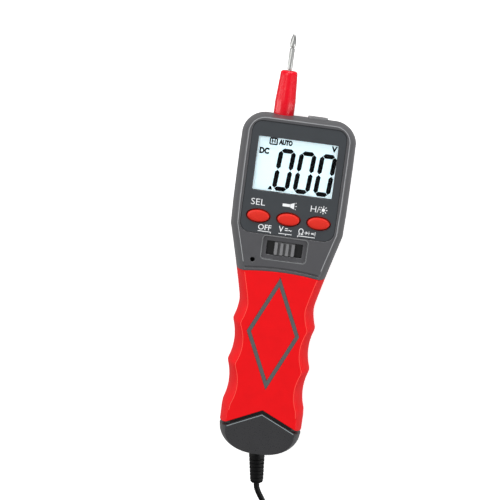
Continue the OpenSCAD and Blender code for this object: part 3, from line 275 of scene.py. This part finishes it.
def make_lead():
    first, last = coil_at(0), coil_at(COIL_LOOPS)
    enter, leave = first - LEAD_D * coil_way(0), last + LEAD_D * coil_way(COIL_LOOPS)
    tilt, yaw = math.atan(2.7 / 62), math.radians(-4)
    far_way = Vector((math.sin(yaw) * math.cos(tilt), -math.cos(yaw) * math.cos(tilt), math.sin(tilt)))
    far_start = Vector((24, -82, 4.85 - 14 * math.sin(tilt)))
    run = [Vector(p) for p in (
        EXIT, (2.35, -19.4, 12.65), (3.6, -22.2, 12), (5.3, -25, 10.9), (7.1, -28, 9.5),
        (8.9, -31.1, 7.8), (10.7, -34.2, 5.9), (12.4, -37.1, 4.2), (14, -39.1, 3))]
    run += [enter - LEAD_D * coil_way(0), enter]
    end = [leave, leave + LEAD_D * coil_way(COIL_LOOPS)]
    end += [Vector(p) for p in ((21.9, -66.6, 5.7), (22.6, -70, 5.2), (23.4, -73.2, 4.8), (23.9, -76.2, 4.4))]
    end += [far_start - LEAD_D * far_way, far_start]
    count = round(COIL_LOOPS * 36)
    coil = [coil_at(COIL_LOOPS * i / count) for i in range(count + 1)]
    route = eased(run, 2) + coil + eased(end, 2)
    data = bpy.data.curves.new("lead", "CURVE")
    data.dimensions = "3D"
    data.bevel_depth = LEAD_D / 2000
    data.bevel_resolution = 5
    data.use_fill_caps = True
    spline = data.splines.new("POLY")
    spline.points.add(len(route) - 1)
    for point, p in zip(spline.points, route):
        point.co = (*place(*p), 1)
    spline.use_smooth = True
    lead = bpy.data.objects.new("lead", data)
    bpy.context.collection.objects.link(lead)
    data.materials.append(LEAD)
    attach(lead, "body")
    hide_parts("lead_run", "lead_coil", "lead_end")


SCALLOP_Y, SCALLOP_L = 23.8, 21.2  # start and length of the hollows in the grip's sides
WAIST_Y = SCALLOP_Y + 2.5 * SCALLOP_L


def half_outline(end_y, w_tail, h_tail, w_grip, deep, y_flare, w_head, corner, top_y):
    """Half an outline of the case, from the middle of the tail to the top of the head."""
    points = []
    for i in range(25):
        a = math.radians(90 * (1 - i / 24))
        points.append((w_tail / 2 * max(math.cos(a), 0) ** 0.8 if i else 0.0,
                       end_y + h_tail * (1 - math.sin(a) ** 0.8)))
    for i in range(46):
        t = i / 18 - i // 18
        points.append((w_grip / 2 - deep * 4 * t * (1 - t), SCALLOP_Y + SCALLOP_L * i / 18))
    for i in range(1, 25):
        t = i / 24
        points.append((w_grip / 2 - deep + (w_head / 2 - w_grip / 2 + deep) * t ** 1.08,
                       WAIST_Y + (y_flare - WAIST_Y) * t))
    for i in range(15):
        a = math.radians(90 * i / 14)
        points.append((w_head / 2 - corner + corner * math.cos(a), top_y - corner + corner * math.sin(a)))
    soft = [tuple((a[k] + 2 * b[k] + c[k]) / 4 for k in (0, 1))
            for a, b, c in zip(points, points[1:], points[2:])]
    keep = 3
    return points[:keep] + soft[keep - 1:-keep + 1] + points[-keep:]


def rim_line(d):
    """The outline at the parting plane, d further in."""
    return half_outline(d, 41.6 - 2 * d, 14 - d, 42 - 2 * d, 2.1, 115.6, 57.5 - 2 * d, 11.5 - d, CASE_TOP - d)


def face_line(d):
    """The outline at the edge of the face."""
    return half_outline(1 + d, 35.2 - 2 * d, 13 - d, 34.8 - 2 * d, 2.6, 117.7, 51.3 - 2 * d, 8.4 - d,
                        CASE_TOP - 1 - d)


def back_line(d):
    """The outline at the edge of the back."""
    return half_outline(3.5 + d, 34.6 - 2 * d, 10.5 - d, 35 - 2 * d, 2.1, 116.2, 50.5 - 2 * d, 8 - d,
                        CASE_TOP - 3.5 - d)


def side_rings(d, edge, z_edge, steps=9):
    """Half outlines from the parting plane to the edge of the face or of the back."""
    rings = []
    for i in range(steps + 1):
        t = i / steps
        inward, up = 0.24 * t * (1 - t) + t * t, 1.24 * t * (1 - t) + t * t
        line = [(a[0] + (b[0] - a[0]) * inward, a[1] + (b[1] - a[1]) * inward)
                for a, b in zip(rim_line(d), edge(d))]
        rings.append((line, SPLIT + (z_edge - SPLIT) * up))
    return rings


def arc(dy):
    """The arc where the head meets the grip, as a limit across the case."""
    return lambda x: -38.9 + math.sqrt((133 + dy) ** 2 - x * x)


def chevron(dy):
    """The edge of the tail cap, as a limit across the case."""
    return lambda x: 21.8 + dy - 0.463 * abs(x)


def cross(line, limit):
    """The last index below the limit, and the point where the line passes it."""
    for i in range(len(line) - 1):
        (x0, y0), (x1, y1) = line[i], line[i + 1]
        d0, d1 = y0 - limit(x0), y1 - limit(x1)
        if d0 <= 0 < d1:
            t = d0 / (d0 - d1)
            x = x0 + (x1 - x0) * t
            return i, (x, limit(x))


def steps_of(limit):
    """One step from the middle to the side for a straight limit, more for a round one."""
    return 1 if abs(2 * limit(10) - limit(0) - limit(20)) < 1e-6 else 24


def zone(rings, low=None, high=None):
    """Closed loops of the rings between two limits, with the same count in each."""
    lows = [cross(line, low) if low else (0, None) for line, z in rings]
    highs = [cross(line, high) if high else (len(line), None) for line, z in rings]
    first = max(i for i, p in lows) + (2 if low else 0)
    last = min(i for i, p in highs) - (1 if high else 0)
    loops = []
    for (line, z), (_, a), (_, b) in zip(rings, lows, highs):
        half = []
        if low:
            n = steps_of(low)
            half += [(a[0] * k / n, low(a[0] * k / n)) for k in range(n + 1)]
        half += line[first:last]
        if high:
            n = steps_of(high)
            half += [(b[0] * k / n, high(b[0] * k / n)) for k in range(n, -1, -1)]
        loop = [(x, y, z) for x, y in half] + [(-x, y, z) for x, y in reversed(half) if x > 1e-6]
        loops.append(loop)
    return loops


def edges_of(bm, ring):
    return [bm.edges.get((a, b)) or bm.edges.new((a, b)) for a, b in zip(ring, ring[1:] + ring[:1])]


def start(bm, points):
    """A loop of vertices, from which a piece rises."""
    ring = [bm.verts.new(place(*p)) for p in points]
    edges_of(bm, ring)
    return ring


def rise(bm, ring, points):
    """Extrudes a loop and sets its new vertices on the given points."""
    made = bmesh.ops.extrude_edge_only(bm, edges=edges_of(bm, ring))["geom"]
    new = {g for g in made if isinstance(g, bmesh.types.BMVert)}
    lifted = [next(e.other_vert(v) for e in v.link_edges if e.other_vert(v) in new) for v in ring]
    for v, p in zip(lifted, points):
        v.co = place(*p)
    return lifted


def close(bm, *rings):
    """Fills a loop, with other loops as its holes."""
    bmesh.ops.triangle_fill(bm, use_beauty=True, edges=[e for r in rings for e in edges_of(bm, r)])


def face(bm, ring, z, holes):
    """Closes a flat ring around its holes, each (points, floor z, holes in its floor or None).
    Gives the lower loops of the holes that go through."""
    tops = [start(bm, [(x, y, z) for x, y in points]) for points, _, _ in holes]
    close(bm, ring, *tops)
    open_loops = []
    for top, (points, floor, inside) in zip(tops, holes):
        low = rise(bm, top, [(x, y, floor) for x, y in points])
        if inside is None:
            open_loops.append(low)
        else:
            open_loops += face(bm, low, floor, inside)
    return open_loops


def stack(bm, outer, holes=(), inner=None):
    """A closed solid through its loops, with holes in its last one and a hollow through inner loops."""
    first = ring = start(bm, outer[0])
    for points in outer[1:]:
        ring = rise(bm, ring, points)
    through = face(bm, ring, outer[-1][0][2], holes)
    if inner:
        low = ring = start(bm, inner[0])
        for points in inner[1:]:
            ring = rise(bm, ring, points)
        close(bm, ring, *through)
        close(bm, first, low)
    else:
        close(bm, first)


def at(points, z):
    return [(x, y, z) for x, y in points]


def slab(bm, points, low, high):
    """A closed plate with an upright edge."""
    base = start(bm, at(points, low))
    top = rise(bm, base, at(points, high))
    close(bm, base)
    close(bm, top)


def hollow_slab(bm, points, hole, low, high):
    """A plate with one opening right through it."""
    base = start(bm, at(points, low))
    top = rise(bm, base, at(points, high))
    upper = start(bm, at(hole, high))
    close(bm, top, upper)
    lower = rise(bm, upper, at(hole, low))
    close(bm, base, lower)


SHARP = math.radians(32)  # edges over this angle stay sharp or get their bevel


def finished(name, bm, look, body="body", nodes=(), bevel=0.0, segments=2):
    """A piece from its bmesh, with its look, body and the nodes that it replaces."""
    bmesh.ops.remove_doubles(bm, verts=bm.verts, dist=1e-7)
    bmesh.ops.recalc_face_normals(bm, faces=bm.faces)
    mesh = bpy.data.meshes.new(name)
    bm.to_mesh(mesh)
    bm.free()
    mesh.shade_smooth()
    mesh.set_sharp_from_angle(angle=SHARP)
    mesh.materials.append(look)
    made = bpy.data.objects.new(name, mesh)
    bpy.context.collection.objects.link(made)
    if bevel:
        edge = made.modifiers.new("edge", "BEVEL")
        edge.width = bevel / 1000
        edge.segments = segments
        edge.limit_method = "ANGLE"
        edge.angle_limit = SHARP
        edge.harden_normals = True
    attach(made, body)
    if nodes:
        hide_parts(*nodes)


def round_rect(cx, cy, w, h, r, steps=6):
    points = []
    for q in range(4):
        sx, sy = (1 if q in (0, 3) else -1), (1 if q < 2 else -1)
        for i in range(steps + 1):
            a = math.radians(90 * (q + i / steps))
            points.append((cx + sx * (w / 2 - r) + r * math.cos(a), cy + sy * (h / 2 - r) + r * math.sin(a)))
    return points


def oval(cx, cy, w, h, steps=48):
    return [(cx + w / 2 * math.cos(math.tau * i / steps), cy + h / 2 * math.sin(math.tau * i / steps))
            for i in range(steps)]


DIAMOND_Y, DIAMOND_W, DIAMOND_H = 62.8, 13.2, 28.6  # middle and half sizes


def diamond(share):
    w, h = DIAMOND_W * share, DIAMOND_H * share
    return [(w, DIAMOND_Y), (0, DIAMOND_Y + h), (-w, DIAMOND_Y), (0, DIAMOND_Y - h)]


def make_head():
    outer = zone(side_rings(0, face_line, FACE_Z), low=arc(0))
    inner = zone(side_rings(2.4, face_line, CEILING), low=arc(2.4))
    line = face_line(0)
    band_x = min(cross(line, arc(1.4))[1][0], cross(line, arc(2.1))[1][0]) - 0.7
    xs = [band_x * (i / 16 - 1) for i in range(33)]
    band = [(x, arc(1.4)(x)) for x in xs] + [(x, arc(2.1)(x)) for x in reversed(xs)]
    panel_floor = [(oval(x, BUTTON_Y, 12.4, 7.2), CEILING, None) for x in BUTTON_X]
    panel_floor.append((round_rect(0, WINDOW_Y, 39.7, 26.7, 0.6, 3), CEILING, None))
    holes = [
        (round_rect(0, PANEL_Y, 47.4, 56.2, 5.2), 29.1, panel_floor),
        (round_rect(0, SLIDE_Y, 22.2, 11.4, 1.6), 29.0,
         [(round_rect(0, SLIDE_Y, 18, 6.9, 0.5, 3), CEILING, None)]),
        (oval(-15.1, 98.8, 2.3, 2.3, 24), CEILING, None),
        (band, 29.4, []),
    ]
    bm = bmesh.new()
    stack(bm, outer, holes, inner)
    finished("front_case_shell", bm, CASE, nodes=["front_case"], bevel=0.35, segments=3)
    # A thin paler strip round the face of the head: a painted highlight along its edge
    rows = [[p for p in face_line(d) if p[1] > arc(3.2)(p[0])] for d in (0.25, 0.62)]
    highlight_loops = [row + [(-x, y) for x, y in reversed(row)] for row in rows]
    line = highlight_loops[0] + highlight_loops[1][::-1]
    bm = bmesh.new()
    stack(bm, [at(line, HIGHLIGHT_LOW), at(line, HIGHLIGHT_TOP)])
    finished("front_case_painted_highlight", bm, FACE_HIGHLIGHT)
    # A thin paler ring round the switch recess: a painted highlight on its edge
    bm = bmesh.new()
    hollow_slab(bm, round_rect(0, SLIDE_Y, 23.1, 12.3, 1.9), round_rect(0, SLIDE_Y, 22.5, 11.7, 1.65),
                HIGHLIGHT_LOW, HIGHLIGHT_TOP)
    finished("slide_recess_painted_highlight", bm, RECESS_HIGHLIGHT)
    # The grey case in the groove between the tail cap and the grip, drawn near black: painted shade in the
    # groove
    bm = bmesh.new()
    stack(bm, zone(side_rings(2.05, face_line, 27.95), low=chevron(-2), high=chevron(5)))
    finished("front_case_band_painted_shade", bm, BLACK_AND_SHADE)


def make_front_grip():
    bm = bmesh.new()
    outer = zone(side_rings(0, face_line, FACE_Z), low=chevron(1.8), high=arc(-0.05))
    inner = zone(side_rings(2, face_line, 28), low=chevron(3.8), high=arc(-2.05))
    groove_z = 28.8
    stack(bm, outer, [(diamond(1.004), groove_z, [])], inner)
    finished("front_grip_skin", bm, GRIP, nodes=["front_grip"], bevel=0.35, segments=3)
    # Thin brighter red strips along the grip's face edges: a painted highlight
    bm = bmesh.new()
    rows = [[p for p in face_line(d) if chevron(2.4)(p[0]) < p[1] < arc(-0.6)(p[0])] for d in (0.28, 0.6)]
    for side in (1, -1):
        line = [(side * x, y) for x, y in rows[0] + rows[1][::-1]]
        stack(bm, [at(line, HIGHLIGHT_LOW), at(line, HIGHLIGHT_TOP)])
    finished("front_grip_painted_highlight", bm, GRIP_HIGHLIGHT)
    bm = bmesh.new()
    share = 1 - 1.9 * math.hypot(DIAMOND_W, DIAMOND_H) / (DIAMOND_W * DIAMOND_H)
    hollow_slab(bm, diamond(1), diamond(share), groove_z, FACE_Z)
    finished("diamond_inlay_rib", bm, INLAY, nodes=["diamond_inlay"], bevel=0.15)
    bm = bmesh.new()
    slab(bm, diamond(share - 0.004), groove_z, FACE_Z)
    finished("front_grip_island", bm, GRIP, bevel=0.2)


def make_tail_cap():
    rear = side_rings(0, back_line, 0.0)
    front = side_rings(0, face_line, FACE_Z)
    bm = bmesh.new()
    loops = zone(rear[::-1] + front[1:], high=chevron(0))
    stack(bm, loops)
    finished("tail_cap_shell", bm, CAP, nodes=["tail_cap"], bevel=0.45, segments=3)
    # A thin bright strip along the cap's chevron edge: a painted highlight
    x = cross(face_line(0), chevron(-0.5))[1][0] - 0.6
    low, high = chevron(-0.75), chevron(-0.4)
    line = [(-x, high(x)), (-x, low(x)), (0, low(0)), (x, low(x)), (x, high(x)), (0, high(0))]
    bm = bmesh.new()
    stack(bm, [at(line, HIGHLIGHT_LOW), at(line, HIGHLIGHT_TOP + 0.01)])
    finished("tail_cap_painted_highlight", bm, CAP_HIGHLIGHT)


def make_panel():
    bm = bmesh.new()
    plate = round_rect(0, PANEL_Y, 47, 55.8, 5)
    window = round_rect(0, WINDOW_Y, 40.2, 27.2, 0.8, 3)
    ovals = [oval(x, BUTTON_Y, 12.4, 7.2) for x in BUTTON_X]
    base = start(bm, at(plate, 29.1))
    top = rise(bm, base, at(plate, FILM_Z))
    lows = face(bm, top, FILM_Z, [(p, 29.1, None) for p in [window, *ovals]])
    close(bm, base, *lows)
    finished("display_panel_film", bm, PANEL, nodes=["display_panel"], bevel=0.1)
    bm = bmesh.new()
    slab(bm, round_rect(0, WINDOW_Y, 40.1, 27.1, 0.8, 3), 29.0, 29.6)
    finished("display_window_pane", bm, CLEAR, nodes=["display_window"], bevel=0.08)


def make_rear():
    bm = bmesh.new()
    outer = zone(side_rings(0, back_line, 0.0), low=arc(0))
    inner = zone(side_rings(2.4, back_line, 2.4), low=arc(2.4))
    sinks = [(oval(s * x, y, 4.2, 4.2, 32), 2.4, None) for x, y in ((19, 165), (20, 113.3)) for s in (-1, 1)]
    stack(bm, outer, sinks, inner)
    stack(bm, zone(side_rings(2.05, back_line, 2.05), low=chevron(-2), high=chevron(2.2)))
    finished("rear_case_shell", bm, CASE, nodes=["rear_case"], bevel=0.3, segments=3)
    bm = bmesh.new()
    block = round_rect(0, DOOR_Y, 28.1, 65.5, 1.2, 4)
    door = round_rect(0, DOOR_Y, 24.9, 62.3, 0.4, 3)
    bay = round_rect(0, 59.5, 22.6, 51.1, 0.4, 3)
    stack(bm, [at(block, 14.9), at(block, 0.0)], [(door, 2.4, [(bay, 13.7, [])])])
    finished("rear_case_bay", bm, CAP, bevel=0.2)
    bm = bmesh.new()
    outer = zone(side_rings(0, back_line, 0.0), low=chevron(1.8), high=arc(-0.05))
    inner = zone(side_rings(2, back_line, 2.0), low=chevron(2.2), high=arc(-2.05))
    opening = round_rect(0, DOOR_Y, 28.2, 65.6, 1.2, 4)
    stack(bm, outer, [(opening, 2.0, None)], inner)
    finished("rear_grip_skin", bm, GRIP, nodes=["rear_grip"], bevel=0.3, segments=3)
    bm = bmesh.new()
    rings = []
    for i in range(9):
        a = math.radians(90 - 22.5 * i)
        end = 87 + math.cos(a)
        rings.append(at(round_rect(0, (26.2 + end) / 2, 24.4, end - 26.2, 0.5, 3), 1.2 + math.sin(a)))
    slots = [(round_rect(0, 36 + 2 * i, 12, 0.9, 0.4, 4), 0.7, []) for i in range(5)]
    slots.append((oval(0, 30, 4.4, 4.4, 32), 1.45, []))
    stack(bm, rings, slots)
    finished("battery_door_plate", bm, CAP, body="battery_cover", nodes=["battery_door"],
             bevel=0.12)


make_head()
make_front_grip()
make_tail_cap()
make_panel()
make_rear()


# Buttons, knob and what stands out of the head
def make_button(name, body, node, x):
    bm = bmesh.new()
    base = ring = start(bm, at(oval(x, BUTTON_Y, 13.6, 8.4), 26.2))
    for w, h, z in ((13.6, 8.4, 27.3), (11, 5.8, 27.3), (11, 5.8, 29.95), (10.7, 5.5, 30.3), (10.1, 4.9, 30.5),
                    (9, 3.9, 30.6)):
        ring = rise(bm, ring, at(oval(x, BUTTON_Y, w, h), z))
    close(bm, ring)
    close(bm, base)
    finished(name, bm, BUTTON, body=body, nodes=[node])


for label, body, x in (("select", "select_button", -15.1), ("torch", "torch_button", 0),
                       ("hold", "hold_button", 15.1)):
    make_button(f"{label}_button_cap", body, f"button_{label}", x)


def make_knob():
    # The knob's flange in the slot, near black: partly its own black plastic, partly painted shade in the slot
    bm = bmesh.new()
    slab(bm, round_rect(0, SLIDE_Y, 26.4, 9.2, 0.8, 3), 26.3, 27.3)
    finished("slide_knob_plate_black_and_shade", bm, BLACK_AND_SHADE, body="slide_switch", bevel=0.1)
    bm = bmesh.new()
    block, block_z = round_rect(0, SLIDE_Y, 10.2, 6.5, 0.6, 3), 28.1
    base = start(bm, at(block, 27.28))
    neck = rise(bm, base, at(block, block_z))
    ribs = [round_rect(x, SLIDE_Y, 1.4, 6.1, 0.3, 3) for x in (-4.2, -1.4, 1.4, 4.2)]
    feet = [start(bm, at(points, block_z)) for points in ribs]
    close(bm, base)
    close(bm, neck, *feet)
    for foot, points in zip(feet, ribs):
        close(bm, rise(bm, foot, at(points, 30.5)))
    finished("slide_knob_cap", bm, KNOB, body="slide_switch", nodes=["slide_knob"], bevel=0.25)


def turned(bm, profile, sides=64):
    """Spins a profile of (radius, distance) pairs about the +Z axis, in millimetres."""
    line = [bm.verts.new(Vector((r, 0, l)) / 1000) for r, l in profile]
    links = [bm.edges.new((a, b)) for a, b in zip(line, line[1:])]
    bmesh.ops.spin(bm, geom=line + links, cent=(0, 0, 0), axis=(0, 0, 1), angle=math.tau, steps=sides,
                   use_merge=True)
    bmesh.ops.remove_doubles(bm, verts=bm.verts, dist=1e-6)


def along(bm, x, y, z, turn):
    """Turns what was spun about +Z onto its own axis and moves it to its place."""
    bmesh.ops.transform(bm, matrix=Matrix.Translation(place(x, y, z)) @ turn, verts=bm.verts)


TO_Y = Matrix.Rotation(math.radians(-90), 4, "X")


def make_probe():
    bm = bmesh.new()
    profile = [(1.05, -7.4), (5.1, -7.4), (5.1, 5.1)]
    for i in range(1, 12):
        t = i / 12
        profile.append((5.2 - 0.95 * t, 5.1 + 15.4 * t))
    profile += [(4.25 - 1.4 * (1 - math.cos(a)), 20.5 + 1.4 * math.sin(a))
                for a in (math.radians(90 * k / 6) for k in range(7))]
    profile += [(1.05, 21.9), (1.05, -7.4)]
    turned(bm, profile)
    along(bm, PROBE_X, CASE_TOP, SPLIT, TO_Y)
    finished("probe_sleeve_skin", bm, SLEEVE, nodes=["probe_sleeve"])
    bm = bmesh.new()
    turned(bm, [(0, -15.4), (1, -15.4), (1, 22.4), (1.3, 22.6), (1.3, 32.4), (1.2, 32.9), (0.9, 33.2),
                (0.9, 33.5), (1.38, 33.9), (1.54, 34.5), (1.52, 35.6), (1.38, 37.2), (1.08, 38.6),
                (0.68, 39.8), (0.3, 40.4), (0, 40.6)])
    along(bm, PROBE_X, CASE_TOP, SPLIT, TO_Y)
    finished("probe_tip_rod", bm, STEEL, nodes=["probe_tip"])


def make_bezel():
    bm = bmesh.new()
    middle = TOTAL / 2  # where place() has its zero, about which the block is turned
    hollow_slab(bm, round_rect(0, middle, 10, 7, 1.5), oval(0, middle, 5.2, 5.2, 32), -3.3, 0.75)
    along(bm, TORCH_X, CASE_TOP, SPLIT, TO_Y)
    finished("torch_bezel_block", bm, BEZEL, nodes=["torch_bezel"], bevel=0.3)


def make_relief():
    bm = bmesh.new()
    profile = [(0, -6), (3.75, -6), (3.75, 0.2), (4.0, 0.8), (4.0, 2.6)]
    for i in range(7):
        wide, low = 3.95 - 0.09 * i, 2.6 + 1.95 * i
        profile += [(wide, low), (wide, low + 1.1), (wide - 0.5, low + 1.3), (wide - 0.5, low + 1.75)]
    profile += [(3.3, 16.2), (2.9, 16.9), (1.5, 17.0), (0, 17.0)]
    turned(bm, profile)
    way = (Vector(EXIT) - Vector((0, 0, SPLIT))).normalized()
    along(bm, 0, 0, SPLIT, way.to_track_quat("Z", "Y").to_matrix().to_4x4())
    finished("strain_relief_sleeve", bm, RELIEF, nodes=["strain_relief"], bevel=0.12)


make_knob()
make_probe()
make_bezel()
make_relief()
make_lead()


def flat(name, shapes, z, thick, look):
    """A printed mark from flat shapes."""
    bm = bmesh.new()
    for points in shapes:
        slab(bm, points, z, z + thick)
    finished(name, bm, look)


def words(name, text, x, y, z, size, look, wide=1.0, thick=0.04, bold=0.02):
    """Letters as a closed mesh, with their middle at x, y."""
    data = bpy.data.curves.new(name, "FONT")
    data.body = text
    data.size = size / 1000
    data.extrude = thick / 2000
    data.align_x, data.align_y = "CENTER", "CENTER"
    data.resolution_u = 3
    data.offset = bold / 1000
    source = bpy.data.objects.new(name, data)
    bpy.context.collection.objects.link(source)
    bpy.context.view_layer.update()
    mesh = bpy.data.meshes.new_from_object(source.evaluated_get(bpy.context.evaluated_depsgraph_get()))
    bpy.data.objects.remove(source)
    bm = bmesh.new()
    bm.from_mesh(mesh)
    bmesh.ops.scale(bm, vec=(wide, 1, 1), verts=bm.verts)
    bmesh.ops.translate(bm, vec=place(x, y, z + thick / 2), verts=bm.verts)
    finished(name, bm, look)


def bar(x0, y0, x1, y1, half):
    """A straight stroke between two points as a thin rectangle."""
    way = Vector((x1 - x0, y1 - y0)).normalized() * half
    return [(x0 - way.y, y0 + way.x), (x0 + way.y, y0 - way.x),
            (x1 + way.y, y1 - way.x), (x1 - way.y, y1 + way.x)]


def segment_points(cx, cy, w, h, lean, which, half=1.12):
    """A bar of a seven-segment figure, with pointed ends, leaning with its height."""
    ends = {"a": (-1, 1, 1, 1), "b": (1, 1, 1, 0), "c": (1, 0, 1, -1), "d": (-1, -1, 1, -1),
            "e": (-1, 0, -1, -1), "f": (-1, 1, -1, 0), "g": (-1, 0, 1, 0)}[which]
    p = Vector((ends[0] * (w / 2 - half), ends[1] * (h / 2 - half)))
    q = Vector((ends[2] * (w / 2 - half), ends[3] * (h / 2 - half)))
    way = (q - p).normalized()
    n = Vector((-way.y, way.x))
    gap = 0.14
    p, q = p + way * gap, q - way * gap
    line = [p, p + (way + n) * half, q + (n - way) * half, q, q - (way + n) * half, p + (way - n) * half]
    return [(cx + v.x + v.y * math.tan(lean), cy + v.y) for v in line]


def make_display():
    bm = bmesh.new()
    slab(bm, round_rect(0, WINDOW_Y, 44, 29, 0.3, 2), 25.5, LCD_Z - 0.04)
    finished("lcd_cell", bm, LCD, nodes=["lcd_glass"])
    shapes = []
    for x in (-5.4, 4.9, 15.2):
        for which in "abcdef":
            shapes.append(segment_points(x, 144.9, 8.5, 21.4, math.radians(4), which))
    shapes.append([(-12.3, 134.4), (-10.0, 134.4), (-10.7, 136.2), (-11.4, 136.2)])
    shapes += [bar(-14.1, 157.0, -10.6, 157.0, 0.34), bar(-14.1, 160.0, -10.6, 160.0, 0.34),
               bar(-14.1, 157.0, -14.1, 160.0, 0.34), bar(-10.6, 157.0, -10.6, 160.0, 0.34)]
    flat("lcd_figures", shapes, LCD_Z - 0.03, 0.05, FIGURE)
    words("lcd_hold", "H", -12.35, 158.5, LCD_Z - 0.03, 2.8, FIGURE, bold=0.1)
    words("lcd_auto", "AUTO", -6.2, 158.4, LCD_Z - 0.03, 3.2, FIGURE, wide=0.72, bold=0.24)
    words("lcd_dc", "DC", -16.4, 153.2, LCD_Z - 0.03, 3.9, FIGURE, wide=0.85, bold=0.24)
    words("lcd_volt", "V", 18.0, 158.2, LCD_Z - 0.03, 3.7, FIGURE, bold=0.22)


def make_prints():
    z = FILM_Z - 0.01
    words("print_select", "SEL", -16.1, 127.6, z, 4.6, INK_AND_GLOW, wide=1.1, bold=-0.03)
    words("print_hold", "H/", 12.3, 127.7, z, 4.5, INK_AND_GLOW, wide=1.05, bold=-0.03)
    sun = [oval(16.6, 127.9, 1.7, 1.7, 20)]
    for i in range(8):
        a = math.tau * i / 8
        sun.append(bar(16.6 + 1.25 * math.cos(a), 127.9 + 1.25 * math.sin(a),
                       16.6 + 2.05 * math.cos(a), 127.9 + 2.05 * math.sin(a), 0.17))
    flat("print_light", sun, z, 0.04, INK_AND_GLOW)
    torch = [[(-3.8, 127.2), (-0.1, 127.2), (-0.1, 128.6), (-3.8, 128.6)],
             [(0, 127.1), (2.0, 126.3), (2.0, 129.5), (0, 128.7)],
             bar(2.5, 126.6, 2.9, 126.1, 0.13), bar(2.5, 129.2, 2.9, 129.7, 0.13),
             bar(2.6, 127.9, 3.3, 127.9, 0.13)]
    flat("print_torch", torch, z, 0.04, INK_AND_GLOW)
    words("print_off", "OFF", -11.2, 115.4, z, 3.8, INK_AND_GLOW, wide=1.02)
    words("print_volt", "V", -3.0, 115.6, z, 4.2, INK_AND_GLOW, wide=0.9)
    words("print_kinds", "=~", 0.6, 115.6, z, 4.2, INK_AND_GLOW, wide=0.75)
    words("print_ohm", "Ω", 7.0, 115.5, z, 4.2, INK_AND_GLOW, wide=0.9)
    ticks = [bar(-14.4, 113.5, -8.0, 113.5, 0.16), bar(-8.0, 113.66, -8.0, 112.8, 0.16),
             bar(-4.0, 113.5, 2.6, 113.5, 0.16), bar(-0.4, 113.66, -0.4, 112.8, 0.16),
             bar(5.6, 113.5, 14.2, 113.5, 0.16), bar(5.6, 113.66, 5.6, 112.8, 0.16),
             [(9.4, 114.6), (10.8, 115.4), (9.4, 116.2)], bar(11.0, 114.6, 11.0, 116.2, 0.16),
             bar(8.8, 115.4, 11.6, 115.4, 0.12),
             oval(12.6, 115.4, 0.9, 0.9, 14), bar(13.4, 114.8, 13.4, 116.0, 0.14),
             bar(14.1, 114.4, 14.1, 116.4, 0.14)]
    for i, shape in enumerate(ticks):
        flat(f"print_mark_{i}", [shape], z, 0.04, INK_AND_GLOW)


make_display()
make_prints()


def make_stage():
    """A pale floor that shows white to the camera and is open to other rays, a white world and five lamps."""
    bm = bmesh.new()
    bmesh.ops.create_grid(bm, x_segments=1, y_segments=1, size=3)
    bmesh.ops.translate(bm, vec=(0, 0, -0.0002), verts=bm.verts)
    mesh = bpy.data.meshes.new("floor")
    bm.to_mesh(mesh)
    bm.free()
    floor = bpy.data.objects.new("floor", mesh)
    bpy.context.collection.objects.link(floor)
    look = bpy.data.materials.new("floor_paper")
    look.use_nodes = True
    tree = look.node_tree
    tree.nodes.clear()
    where = add(tree, "ShaderNodeTexCoord").outputs["Object"]
    cloud = add(tree, "ShaderNodeTexNoise", {"Vector": where}, {"Scale": 4})
    tone = add(tree, "ShaderNodeMapRange", {"Value": cloud.outputs["Fac"]}, {"To Min": 0.94, "To Max": 0.96})
    matt = add(tree, "ShaderNodeBsdfDiffuse", {"Color": tone.outputs["Result"]})
    clear = add(tree, "ShaderNodeBsdfTransparent")
    seen = add(tree, "ShaderNodeEmission", (), {"Color": (1, 1, 1, 1), "Strength": 0.6})
    both = add(tree, "ShaderNodeAddShader", {0: matt.outputs[0], 1: seen.outputs[0]})
    ray = add(tree, "ShaderNodeLightPath")
    front = add(tree, "ShaderNodeMixShader", {0: ray.outputs["Is Camera Ray"], 1: clear.outputs[0],
                                              2: both.outputs[0]})
    side = add(tree, "ShaderNodeNewGeometry")
    last = add(tree, "ShaderNodeMixShader", {0: side.outputs["Backfacing"], 1: front.outputs[0],
                                             2: clear.outputs[0]})
    add(tree, "ShaderNodeOutputMaterial", {"Surface": last.outputs[0]})
    mesh.materials.append(look)
    world = bpy.data.worlds.new("studio")
    bpy.context.scene.world = world
    world.use_nodes = True
    world.node_tree.nodes["Background"].inputs["Color"].default_value = (1, 1, 1, 1)
    world.node_tree.nodes["Background"].inputs["Strength"].default_value = 0.34
    for name, where, aim, size, power in (
            ("key", (-0.6, 0.5, 1.2), (0, 0, 0), (0.6, 0.6), 6),
            ("fill", (0.9, -0.2, 0.9), (0, 0, 0), (0.7, 0.9), 1.5),
            ("top", (0.1, 1.2, 0.35), (0, 0.05, 0), (1.4, 0.5), 14),
            ("left", (-1.1, -0.1, 0.3), (0, 0, 0.01), (0.35, 1.4), 6),
            ("right", (1.1, -0.2, 0.3), (0, 0, 0.01), (0.35, 1.4), 6)):
        data = bpy.data.lights.new(name, "AREA")
        data.shape = "RECTANGLE"
        data.size, data.size_y = size
        data.energy = power
        light = bpy.data.objects.new(name, data)
        bpy.context.collection.objects.link(light)
        back = (Vector(where) - Vector(aim)).normalized()
        light.matrix_world = Matrix.Translation(where) @ back.to_track_quat("Z", "Y").to_matrix().to_4x4()


make_stage()
bpy.context.scene.view_settings.view_transform = "Standard"
